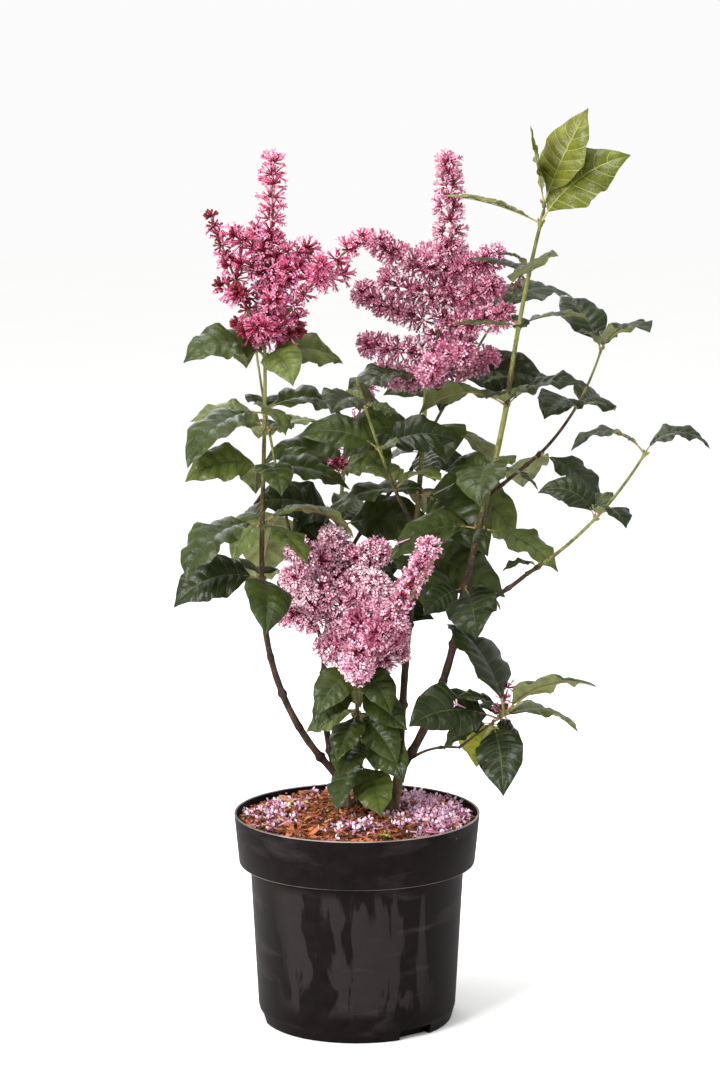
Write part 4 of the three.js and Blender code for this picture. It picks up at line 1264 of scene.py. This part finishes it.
# A mass with more than a few florets shut has more of them towards the tips of its arms.
TIP_BUDS = {"share": 0.3, "few": 0.05}
TUFT = {"turn": (-0.4, 0.4), "lean": 62, "less_at_tip": 0.3, "vary_lean": (-10, 10), "roll": (0, 6.3),
        "vary_number": (0.75, 1.2), "jitter": 0.14}
STALK = {"radius": 0.3, "shortest": 1.5, "vary": (0.7, 1.05), "last": 0.8}
FLORET_SIZES = (0.84, 1.12)
NEIGHBOURS = [-1, 0, 0, 1]


def square_to(onward):
    """Two directions square to one direction and to each other."""
    start = np.array([1.0, 0, 0]) if abs(onward[0]) < 0.9 else np.array([0, 1.0, 0])
    across = unit(start - onward * (start @ onward))
    return across, np.cross(onward, across)


def tufts_along(arm, look, chance):
    """The florets of an arm, which stand in tufts on pairs of short stalks: for each tuft its florets'
    roots and directions, and the skins of the stalks."""
    line = centre_line(arm["start"], arm)
    stalk = max(STALK["shortest"], arm["head"] - look["length"])
    size = min(1, (arm["head"] - STALK["shortest"]) / look["length"])
    first = look["from"] if arm["side"] else 0
    places = max(1, round(arm["length"] * (1 - first) / (look["apart"] * arm["open"])))
    tufts, stalks = [], []
    for k in range(places + 1):
        share = min(1.0, first + (1 - first) * k / places)
        centre, onward = point_along(line, share), onward_at(line, round(share * STEPS))
        across, up = square_to(onward)
        turn = math.radians(90 * k) + chance.uniform(*TUFT["turn"])
        out = across * math.cos(turn) + up * math.sin(turn)
        usual_lean = TUFT["lean"] * (1 - TUFT["less_at_tip"] * share)
        lean = math.radians(usual_lean + chance.uniform(*TUFT["vary_lean"]))
        branches = [onward * math.cos(lean) + out * side * math.sin(lean) for side in (1, -1)]
        if k == places:
            branches.append(onward)
        for branch in branches:
            branch = unit(branch)
            tapered = 1 - arm["taper"] * share
            shorter = 1 if k < places else STALK["last"]
            reach = stalk * chance.uniform(*STALK["vary"]) * shorter * tapered
            root = centre + branch * reach
            stalks.append(tube([centre, root], [STALK["radius"]] * 2, 3, closed=False))
            side, over = square_to(branch)
            number = max(2, round(look["tuft"] * chance.uniform(*TUFT["vary_number"])))
            n = np.arange(number)
            polar = np.radians(look["cone"]) * np.sqrt((n + 0.5) / number)
            around = np.radians(GOLDEN_ANGLE) * n + chance.uniform(*TUFT["roll"])
            aside = side * np.cos(around)[:, None] + over * np.sin(around)[:, None]
            ways = branch * np.cos(polar)[:, None] + aside * np.sin(polar)[:, None]
            ways = unit(ways + chance.normal(0, TUFT["jitter"], (number, 3)))
            tufts.append((np.repeat(root[None], number, 0), ways, share, size))
    return line, tufts, stalks


def blossom_piece(name):
    """Makes a panicle's florets, open, half open or shut, and gives back the skins of its twigs."""
    look = BLOSSOM[BLOSSOM_OF[name]]
    chance = np.random.default_rng(PANICLES[name]["seed"])
    shut_share = STILL_SHUT.get(name, look["buds"])
    more_at_tip = TIP_BUDS["share"] if shut_share > TIP_BUDS["few"] else 0
    length, mouth, lobe, spread = look["length"], look["mouth"], look["lobe"], look["spread"]
    shapes = [
        open_floret(length, mouth, lobe, spread),
        open_floret(
            length * HALF_OPEN["length"], mouth, lobe * HALF_OPEN["lobe"], spread * HALF_OPEN["spread"]
        ),
        floret_bud(length * SHUT_LENGTH, mouth),
    ]
    shut = len(shapes) - 1
    twigs, lots = [], []
    arms = [arm for arm in (room_for_arm(each, name) for each in arms_of(name)) if arm]
    if PANICLES[name]["whorls"]:
        arms.append(inner_arm(name))
    for arm in arms:
        line, tufts, stalks = tufts_along(arm, look, chance)
        if arm["side"]:
            thin_line = line[::3]
            twigs.append(tube(thin_line, np.linspace(*ARM["thick"], len(thin_line)) / 2, ARM["sides"]))
        twigs += stalks
        grown = []
        for tuft_roots, ways, share, scale in tufts:
            count = len(ways)
            own_tube = chance.choice(3, p=look["tube_shares"]) + arm["paler"]
            own_lobe = chance.choice(3, p=look["lobe_shares"]) + arm["paler"]
            tubes = FIRST_TUBE + np.clip(own_tube + chance.choice(NEIGHBOURS, count), 0, 2)
            lobes = FIRST_LOBE + np.clip(own_lobe + chance.choice(NEIGHBOURS, count), 0, 2)
            is_shut = chance.random(count) < shut_share + more_at_tip * share**4
            grown.append((tuft_roots, ways, np.full(count, scale), tubes, lobes, is_shut))
        roots, onwards, scales, tubes, lobes, is_shut = (np.concatenate(lot) for lot in zip(*grown))
        which = np.where(is_shut, shut, (chance.random(len(roots)) < HALF_OPEN["share"]).astype(int))
        for kind, shape in enumerate(shapes):
            chosen = which == kind
            number = int(chosen.sum())
            if not number:
                continue
            finish_of_part = {
                TUBE: tubes[chosen],
                LOBE: np.full(number, FLORET_BUD) if kind == shut else lobes[chosen],
                THROAT: np.full(number, FLORET_THROAT),
                # The foot of an open floret's tube takes the darker foot finish, which is painted shade deep
                # in the tuft.
                FOOT: np.full(number, FLORET_BUD if kind == shut else FLORET_SHADED_FOOT),
            }
            kinds = np.stack([finish_of_part[part] for part in (TUBE, LOBE, THROAT, FOOT)], 1)
            rolls = chance.uniform(0, 2 * np.pi, number)
            sizes = scales[chosen] * chance.uniform(*FLORET_SIZES, number)
            lots.append(set_out(shape, roots[chosen], onwards[chosen], rolls, sizes, kinds))
    points, faces = joined([lot[:2] for lot in lots])
    finish_of_face = np.concatenate([lot[2] for lot in lots])
    florets = mesh_piece(f"{name}_florets", points, faces, look["finishes"], finish_of_face)
    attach(florets, "root")
    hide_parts(name)
    return twigs


lay_stems({name: {**size, "thick": AXIS["thick"]} for name, size in PANICLES.items()})
twig_bark = natural_finish("twig_bark", paint(84, 52, 44), paint(112, 96, 58), 90, rough=(0.5, 0.7))
twig_skins = []
for name in PANICLES:
    twig_skins += blossom_piece(name)
    last_knot = PANICLES[name]["length"] - AXIS["last_knot"]
    knots = np.arange(AXIS["first_knot"], last_knot, AXIS["knots_apart"])
    axis = stem_skin(name, AXIS["sides"], knots, SHOOT_RIDGES, SHOOT_KNOT["swell"], AXIS["scar"])
    twig_skins.append(axis)
twig_points, twig_faces = joined(twig_skins)
twigs = mesh_piece("blossom_twigs", twig_points, twig_faces, [twig_bark])
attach(twigs, "root")

# ---- The leaves ----
# Pointed oval leaves stand in pairs on reddish stalks. Each blade is folded along its midrib, quilted
# between its veins and wavy at its edge, deep green and satiny above, pale and dull below.
LEAF_GAP = 7
SWINGS = [0, 22, -22, 44, -44]
# The light tilt turns a leaf's face towards the light. The other angles, and the length, are how much one
# leaf may differ from the next.
LEAF = {"width": 0.52, "light_tilt": 24, "heading": 36, "rise": 36, "length": 0.26, "roll": 70, "sweep": 50}
# A leaf claims its room by a plain outline, tested at a few places over the blade.
ROOM_OUTLINE = [(0, 0.06), (0.13, 0.06), (0.38, 0.96), (0.7, 0.8), (1, 0)]
BLADE_TESTS = {"along": [0.3, 0.4, 0.5, 0.6, 0.7, 0.8, 0.9, 1], "across": [-1, -0.5, 0, 0.5, 1]}
# Outlines, veins and marks are shares of a leaf's length, with its stalk, and of its half width.
BLADE_START = 0.125
OUTLINE = [(0.125, 0.05), (0.17, 0.24), (0.25, 0.64), (0.33, 0.88), (0.42, 0.99), (0.52, 1.0), (0.64, 0.9),
           (0.76, 0.68), (0.86, 0.4), (0.94, 0.15), (1, 0.015)]
VEINS = [0.165, 0.245, 0.335, 0.435, 0.545, 0.665, 0.785]
VEIN_HALF = 0.003
ACROSS = [-1, -0.86, -0.66, -0.44, -0.22, -0.028, 0.028, 0.22, 0.44, 0.66, 0.86, 1]
RIB_STEPS = 60
VEIN_SWEEP = {"forward": 0.13, "curve": 1.25}
FOLD = {"rise": 0.36, "fall": 0.3, "vary": (0.6, 1.3)}
WAVE = {"height": 0.13, "count": 3.4, "vary": (0.5, 1.3), "ripples": 2.3, "ripple_height": 0.4}
QUILT = {"height": 0.022, "crest": 0.7, "at_ends": 0.4}
BLADE_THICK = 0.4
# The stalk goes on as the midrib, which lies a little below the blade's top once past the blade's foot.
PETIOLE = {"foot": 1.35, "above_foot": 0.8, "neck": 0.85, "tip": 0.2, "sides": 6, "leaf_length": 105,
           "sunk": 0.45, "sinks_from": 0.1, "sinks_by": 6}
PETIOLE_MARKS = [0, 0.02, 0.13, 1]
RIB_SHARES = np.concatenate([np.linspace(0, 0.16, 6), np.linspace(0.25, 0.97, 9)])
TOP, UNDERSIDE, VEIN, STALK_AND_RIB = range(4)


def is_off_pot(point):
    """Whether a point is clear of the compost and of the pot's rim."""
    return point[2] > SOIL_HEIGHT + LEAF_GAP or math.hypot(point[0], point[1]) > RIM_RADIUS + LEAF_GAP


def rib_arc(leaf):
    """The arc of a leaf's midrib, which rises from the shoot and droops towards its tip."""
    return {
        "heading": leaf["heading"],
        "turn": leaf["sweep"],
        "lean": 90 - leaf["rise"],
        "bend": leaf["rise"] + leaf["droop"],
        "length": leaf["length"],
    }


def test_points(leaf):
    """Points over a blade that have to be clear of everything else."""
    line = centre_line(leaf["root"], rib_arc(leaf))
    roll = math.radians(leaf["roll"])
    points = []
    for share in BLADE_TESTS["along"]:
        onward = onward_at(line, math.floor(share * STEPS + 0.5))
        level = direction(leaf["heading"] + leaf["sweep"] * share + 90, 90)
        level = unit(level - onward * (level @ onward))
        left = level * math.cos(roll) + np.cross(onward, level) * math.sin(roll)
        half = np.interp(share, *zip(*ROOM_OUTLINE)) * LEAF["width"] * leaf["length"] / 2
        points += [point_along(line, share) + left * side * half for side in BLADE_TESTS["across"]]
    return points


def leaves_of(name):
    """The leaves that a shoot sets out, four at each place: a pair, and a smaller pair across it."""
    line, size = stems[name]["line"], stems[name]["size"]
    draw = seeded_numbers(size["seed"])

    def vary(spread):
        return (next(draw) - 0.5) * spread

    leaves = []
    for pair in range(size["pairs"]):
        share = pair / max(1, size["pairs"] - 1)
        root = point_along(line, size["low"] + (size["high"] - size["low"]) * share)

        def between(ends):
            return ends[0] + (ends[1] - ends[0]) * share

        for turn, scale in ((0, 1), (180, 1), (90, size["cross"]), (270, size["cross"])):
            heading = size["facing"] + size["twist"] * pair + turn + vary(LEAF["heading"])
            lifted = share * size["cross_rise"] if turn % 180 and "cross_rise" in size else 0
            rise = between(size["rise"]) + lifted + vary(LEAF["rise"])
            droop = between(size["droop"]) + vary(LEAF["rise"])
            length = between(size["leaf"]) * scale * (1 + vary(LEAF["length"]))
            roll = LEAF["light_tilt"] * math.cos(math.radians(heading)) + vary(LEAF["roll"])
            leaves.append({
                "root": root,
                "heading": heading,
                "rise": rise,
                "droop": droop,
                "length": length,
                "roll": roll,
                "sweep": vary(LEAF["sweep"]),
                "share": share,
            })
    return leaves


def room_for(leaf):
    """The leaf as it can grow, swung round where its first place is taken, or nothing."""
    for swing in SWINGS:
        swung = {**leaf, "heading": leaf["heading"] + swing}
        points = test_points(swung)
        if all(is_off_pot(point) for point in points) and is_clear(points, LEAF_GAP, None):
            taken.extend((*point, 0, "leaf") for point in points)
            return swung
    return None


def row_lines():
    """How far along the blade each row of its mesh starts at the midrib, whether the row after it is a
    vein, and how far the line lies between two veins."""
    lines, is_vein, between = [BLADE_START], [False], [0.0]
    for k, vein in enumerate(VEINS):
        last = lines[-1]
        for part in (1 / 3, 2 / 3) if k else (0.5,):
            lines.append(last + (vein - VEIN_HALF - last) * part)
            is_vein.append(False)
            between.append(part)
        lines += [vein - VEIN_HALF, vein + VEIN_HALF]
        is_vein += [True, False]
        between += [0.0, 0.0]
    last = lines[-1]
    for part in (0.25, 0.5, 0.75, 1):
        lines.append(last + (1.0 - last) * part)
        is_vein.append(False)
        between.append(part if part < 1 else 0.0)
    return np.array(lines), np.array(is_vein), np.array(between)


ROW_STARTS, ROW_IS_VEIN, ROW_BETWEEN = row_lines()


def leaf_skin(leaf, chance):
    """A leaf's points and faces and what each face is: the blade's folded, waved and quilted top, its
    underside, its veins, and the stalk that runs on under it as the midrib."""
    fine = centre_line(leaf["root"], rib_arc(leaf), RIB_STEPS)
    ahead = unit(np.gradient(fine, axis=0))
    marks = np.linspace(0, 1, RIB_STEPS + 1)
    across = np.array(ACROSS)[None, :]
    start = ROW_STARTS[:, None]
    run = (start - BLADE_START) / (1 - BLADE_START)
    out = np.abs(across)
    share = start + VEIN_SWEEP["forward"] * out ** VEIN_SWEEP["curve"] * 4 * run * (1 - run)

    def sample(values):
        return np.stack([np.interp(share, marks, values[:, k]) for k in range(3)], -1)

    centre, onward = sample(fine), unit(sample(ahead))
    heading = np.radians(leaf["heading"] + leaf["sweep"] * share + 90)
    level = np.stack([np.cos(heading), np.sin(heading), np.zeros_like(heading)], -1)
    level = unit(level - onward * np.sum(level * onward, -1, keepdims=True))
    roll = math.radians(leaf["roll"])
    left = level * math.cos(roll) + np.cross(onward, level) * math.sin(roll)
    up = np.cross(onward, left)
    half = np.interp(share, *zip(*OUTLINE)) * LEAF["width"] * leaf["length"] / 2
    lift = half * (FOLD["rise"] * out - FOLD["fall"] * out**2) * chance.uniform(*FOLD["vary"])
    phases = chance.uniform(0, 1, 2)
    phase = np.where(across < 0, phases[0], phases[1])
    waves = np.sin(2 * np.pi * (WAVE["count"] * share + phase))
    ripples = np.sin(2 * np.pi * (WAVE["ripples"] * WAVE["count"] * share - phase))
    waves = waves + WAVE["ripple_height"] * ripples
    lift = lift + half * WAVE["height"] * chance.uniform(*WAVE["vary"]) * out**2 * waves
    swelling = np.sin(np.pi * ROW_BETWEEN)[:, None] * np.sin(np.pi * np.clip(out, 0, 1) ** QUILT["crest"])
    fullness = QUILT["at_ends"] + (1 - QUILT["at_ends"]) * np.sin(np.pi * np.clip(run, 0, 1))
    lift = lift + QUILT["height"] * leaf["length"] * swelling * fullness
    top = centre + left * (across * half)[..., None] + up * lift[..., None]
    rows, columns = share.shape
    under = top - up * BLADE_THICK
    points = np.concatenate([top.reshape(-1, 3), under.reshape(-1, 3)])
    index = np.arange(rows * columns).reshape(rows, columns)
    below = index + rows * columns
    below[:, [0, -1]] = index[:, [0, -1]]
    below[-1] = index[-1]
    upper = np.stack([index[:-1, :-1], index[:-1, 1:], index[1:, 1:], index[1:, :-1]], -1).reshape(-1, 4)
    lower = np.stack([below[:-1, :-1], below[1:, :-1], below[1:, 1:], below[:-1, 1:]], -1).reshape(-1, 4)
    is_rib = np.abs(np.array(ACROSS[:-1]) + np.array(ACROSS[1:])) < 0.01
    is_vein = (ROW_IS_VEIN[:-1, None] | is_rib[None, :]).reshape(-1)
    rib_line = np.stack([np.interp(RIB_SHARES, marks, fine[:, k]) for k in range(3)], -1)
    beside_rib = is_rib.argmax()
    rib_up = [np.interp(RIB_SHARES, share[:, beside_rib], up[:, beside_rib, k]) for k in range(3)]
    sunk = np.clip((RIB_SHARES - PETIOLE["sinks_from"]) * PETIOLE["sinks_by"], 0, 1)
    rib_down = np.stack(rib_up, -1) * sunk[:, None] * PETIOLE["sunk"]
    above_foot = PETIOLE["foot"] * PETIOLE["above_foot"]
    thickness = [PETIOLE["foot"], above_foot, PETIOLE["neck"], PETIOLE["tip"]]
    radii = np.interp(RIB_SHARES, PETIOLE_MARKS, thickness) * leaf["length"] / PETIOLE["leaf_length"]
    rib = tube(rib_line - rib_down, radii, PETIOLE["sides"])
    whole_points, faces = joined([(points, [*upper.tolist(), *lower.tolist()]), rib])
    top_parts = np.where(is_vein, VEIN, TOP)
    under_parts = np.full(is_vein.size, UNDERSIDE)
    return whole_points, faces, np.concatenate([top_parts, under_parts, np.full(len(rib[1]), STALK_AND_RIB)])


VEIN_NET = {"meshes": 210, "vein": 0.1, "paleness": 0.42, "pillow": 0.45, "strength": 0.3, "depth": 0.6}


def blade_finish(name, dark, light, vein):
    """A satin leaf top with a fine net of small veins, pale and sunk."""
    material = natural_finish(name, dark, light, 38, rough=(0.28, 0.42), relief=(0.25, 0.3), shine=0.2)
    net = material.node_tree.nodes.new("ShaderNodeTexVoronoi")
    net.feature = "DISTANCE_TO_EDGE"
    net.inputs["Scale"].default_value = VEIN_NET["meshes"]
    material.node_tree.links.new(where_on(material), net.inputs["Vector"])
    from_vein = net.outputs["Distance"]
    paleness = ramped(material, from_vein, (0, VEIN_NET["vein"]), (VEIN_NET["paleness"], 0))
    painted_over(material, paleness, vein)
    pillows = ramped(material, from_vein, (0, VEIN_NET["pillow"]), (0, 1))
    embossed(material, pillows, VEIN_NET["strength"], VEIN_NET["depth"])
    return material


def leaf_part_finish(name, dark, light, grain, rough):
    """The duller skin of an underside, a vein or a stalk."""
    return natural_finish(name, dark, light, grain, rough=rough)


LEAF_TOPS = [
    blade_finish("leaf_dark", paint(18, 24, 7), paint(32, 40, 12), paint(40, 50, 18)),
    blade_finish("leaf_green", paint(30, 38, 10), paint(50, 60, 20), paint(58, 70, 26)),
    blade_finish("leaf_light_green", paint(52, 62, 22), paint(80, 90, 38), paint(88, 100, 46)),
]
YOUNG_TOPS = [
    blade_finish("young_leaf", paint(72, 75, 18), paint(99, 102, 34), paint(108, 111, 44)),
    blade_finish("young_leaf_green", paint(62, 69, 17), paint(90, 95, 30), paint(100, 105, 40)),
    blade_finish("young_leaf_pale", paint(108, 111, 46), paint(140, 142, 76), paint(148, 150, 88)),
]
leaf_under = leaf_part_finish("leaf_underside", paint(84, 89, 46), paint(112, 117, 66), 60, (0.6, 0.75))
leaf_vein = leaf_part_finish("leaf_vein", paint(38, 47, 15), paint(58, 69, 25), 80, (0.5, 0.65))
young_vein = leaf_part_finish("young_vein", paint(116, 119, 54), paint(138, 141, 78), 80, (0.5, 0.65))
petiole_skin = leaf_part_finish("petiole_skin", paint(116, 86, 54), paint(138, 122, 70), 80, (0.45, 0.6))
young_petiole = leaf_part_finish("young_petiole", paint(140, 130, 76), paint(166, 160, 100), 80, (0.45, 0.6))
yellowed_leaf = blade_finish("yellowed_leaf", paint(80, 88, 14), paint(122, 126, 30), paint(136, 136, 60))
LEAF_FINISHES = [*LEAF_TOPS, *YOUNG_TOPS, leaf_under, leaf_vein, young_vein, petiole_skin, young_petiole,
                 yellowed_leaf]
# The shares of a shoot's leaves that are dark, mid and light green, weighted as painted light and shade: more
# light leaves on the shoots at the left and front, which face the lamps on the left, and more dark ones on
# the right and low right. Leaves nearer its tip are lighter.
PAINTED_LIGHT_SHARES = {
    "left_foliage": (0.15, 0.38, 0.47),
    "left_back_foliage": (0.25, 0.4, 0.35),
    "front_foliage": (0.12, 0.43, 0.45),
    "low_foliage": (0.96, 0.04, 0.0),
    "low_right_foliage": (0.8, 0.2, 0.0),
    "right_foliage": (0.76, 0.22, 0.02),
    "high_right_foliage": (0.68, 0.28, 0.04),
}
OTHER_SHADE_SHARES = (0.5, 0.38, 0.12)
LIGHTER_ABOVE = 0.16
# How far up these two shoots the leaves are young and yellow-green, and the one old leaf that has yellowed.
YOUNG_FROM = {"top_foliage": 0.9, "tip_foliage": 0}
YELLOWED = ("low_foliage", 0)


def leaf_finishes(shade, is_young, is_yellowed):
    """Which of the finishes a leaf's top, underside, veins and stalk have."""
    if is_yellowed:
        worn = [yellowed_leaf, yellowed_leaf, young_vein, petiole_skin]
    elif is_young:
        worn = [YOUNG_TOPS[shade], leaf_under, young_vein, young_petiole]
    else:
        worn = [LEAF_TOPS[shade], leaf_under, leaf_vein, petiole_skin]
    return np.array([LEAF_FINISHES.index(finish) for finish in worn])


blades = {}
for name, size in SHOOTS.items():
    chance = np.random.default_rng(size["seed"])
    skins, finish_of_face = [], []
    blades[name] = [leaf for leaf in map(room_for, leaves_of(name)) if leaf]
    for number, leaf in enumerate(blades[name]):
        points, faces, parts = leaf_skin(leaf, chance)
        # A shoot's shares carry painted light and shade according to where the shoot stands.
        dark, green, light = PAINTED_LIGHT_SHARES.get(name, OTHER_SHADE_SHARES)
        lighter = min(dark, LIGHTER_ABOVE * leaf["share"] ** 2)
        shade = chance.choice(3, p=[dark - lighter, green, light + lighter])
        is_young = name in YOUNG_FROM and leaf["share"] >= YOUNG_FROM[name]
        skins.append((points, faces))
        finish_of_face.append(leaf_finishes(shade, is_young, (name, number) == YELLOWED)[parts])
    points, faces = joined(skins)
    finish_of_face = np.concatenate(finish_of_face)
    leaves_name = name.replace("foliage", "leaves")
    leaves = mesh_piece(leaves_name, points, faces, LEAF_FINISHES, finish_of_face, sharp_over=70)
    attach(leaves, "root")
    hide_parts(name)

# ---- The fallen florets ----
# Florets that have dropped lie in drifts on the compost, faded to a pale lilac, most of them on the right.
# Three have been caught by leaves on their way down.
DRIFT_SEED = 11
DRIFTS = [
    {"middle": (88, -12), "spread": (30, 56), "count": 300},
    {"middle": (56, 78), "spread": (28, 26), "count": 110},
    {"middle": (-98, 0), "spread": (16, 40), "count": 60},
    {"middle": (0, -76), "spread": (22, 22), "count": 34},
    {"middle": (-40, 98), "spread": (16, 12), "count": 22},
]
FADED_TUBES = (0, 4)
FADED_THROAT = 1
FADED_LOBES = (2, 3)
FADED = [
    petal("faded_tube", paint(176, 116, 148), paint(200, 148, 176)),
    petal("faded_throat", paint(128, 62, 88), paint(154, 86, 112)),
    petal("faded_lobe", paint(204, 162, 190), paint(220, 184, 206)),
    petal("faded_lobe_light", paint(222, 196, 214), paint(236, 216, 228)),
    petal("faded_tube_deep", paint(150, 74, 106), paint(172, 100, 132)),
]
FALLEN = {"length": 15, "mouth": 1.5, "lobe": 5.2, "spread": 66, "lift": (1.5, 3.2), "pitch": 0.2,
          "sunk": 6, "from_pot": 8}
# Each caught floret's shoot, which of its leaves caught it, and how far out along that leaf.
CAUGHT = [("left_foliage", 4, 0.55), ("right_foliage", 3, 0.7), ("low_foliage", 4, 0.35)]
ON_LEAF = {"lift": 2.5, "tilt": 0.25}

chance = np.random.default_rng(DRIFT_SEED)
places = []
for drift in DRIFTS:
    offsets = chance.normal(0, 1, (drift["count"], 2)) * drift["spread"] + drift["middle"]
    places.append(offsets[np.hypot(offsets[:, 0], offsets[:, 1]) < soil_rim - FALLEN["from_pot"]])
places = np.concatenate(places)
count = len(places)
heights = soil_top(places[:, 0], places[:, 1]) + chance.uniform(*FALLEN["lift"], count)
turns = chance.uniform(0, 2 * np.pi, count)
pitches = chance.normal(0, FALLEN["pitch"], count)
lying = np.stack([np.cos(turns) * np.cos(pitches), np.sin(turns) * np.cos(pitches), np.sin(pitches)], 1)
roots = np.stack([places[:, 0], places[:, 1], heights], 1) - lying * FALLEN["sunk"]
for name, number, share in CAUGHT:
    leaf = blades[name][number]
    line = centre_line(leaf["root"], rib_arc(leaf))
    onward = onward_at(line, round(share * STEPS))
    over = np.cross(onward, unit(np.cross([0, 0, 1.0], onward)))
    roots = np.concatenate([roots, [point_along(line, share) + over * ON_LEAF["lift"]]])
    lying = np.concatenate([lying, [unit(onward + over * ON_LEAF["tilt"])]])
count = len(roots)
lobes = chance.choice(FADED_LOBES, count)
tubes = chance.choice(FADED_TUBES, count)
kinds = np.stack([tubes, lobes, np.full(count, FADED_THROAT), tubes], 1)
faded_floret = open_floret(FALLEN["length"], FALLEN["mouth"], FALLEN["lobe"], FALLEN["spread"])
rolls = chance.uniform(0, 6.3, count)
sizes = chance.uniform(0.8, 1.1, count)
fallen_points, fallen_faces, fallen_finish = set_out(faded_floret, roots, lying, rolls, sizes, kinds)
fallen = mesh_piece("fallen_florets", fallen_points, fallen_faces, FADED, fallen_finish)
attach(fallen, "root")
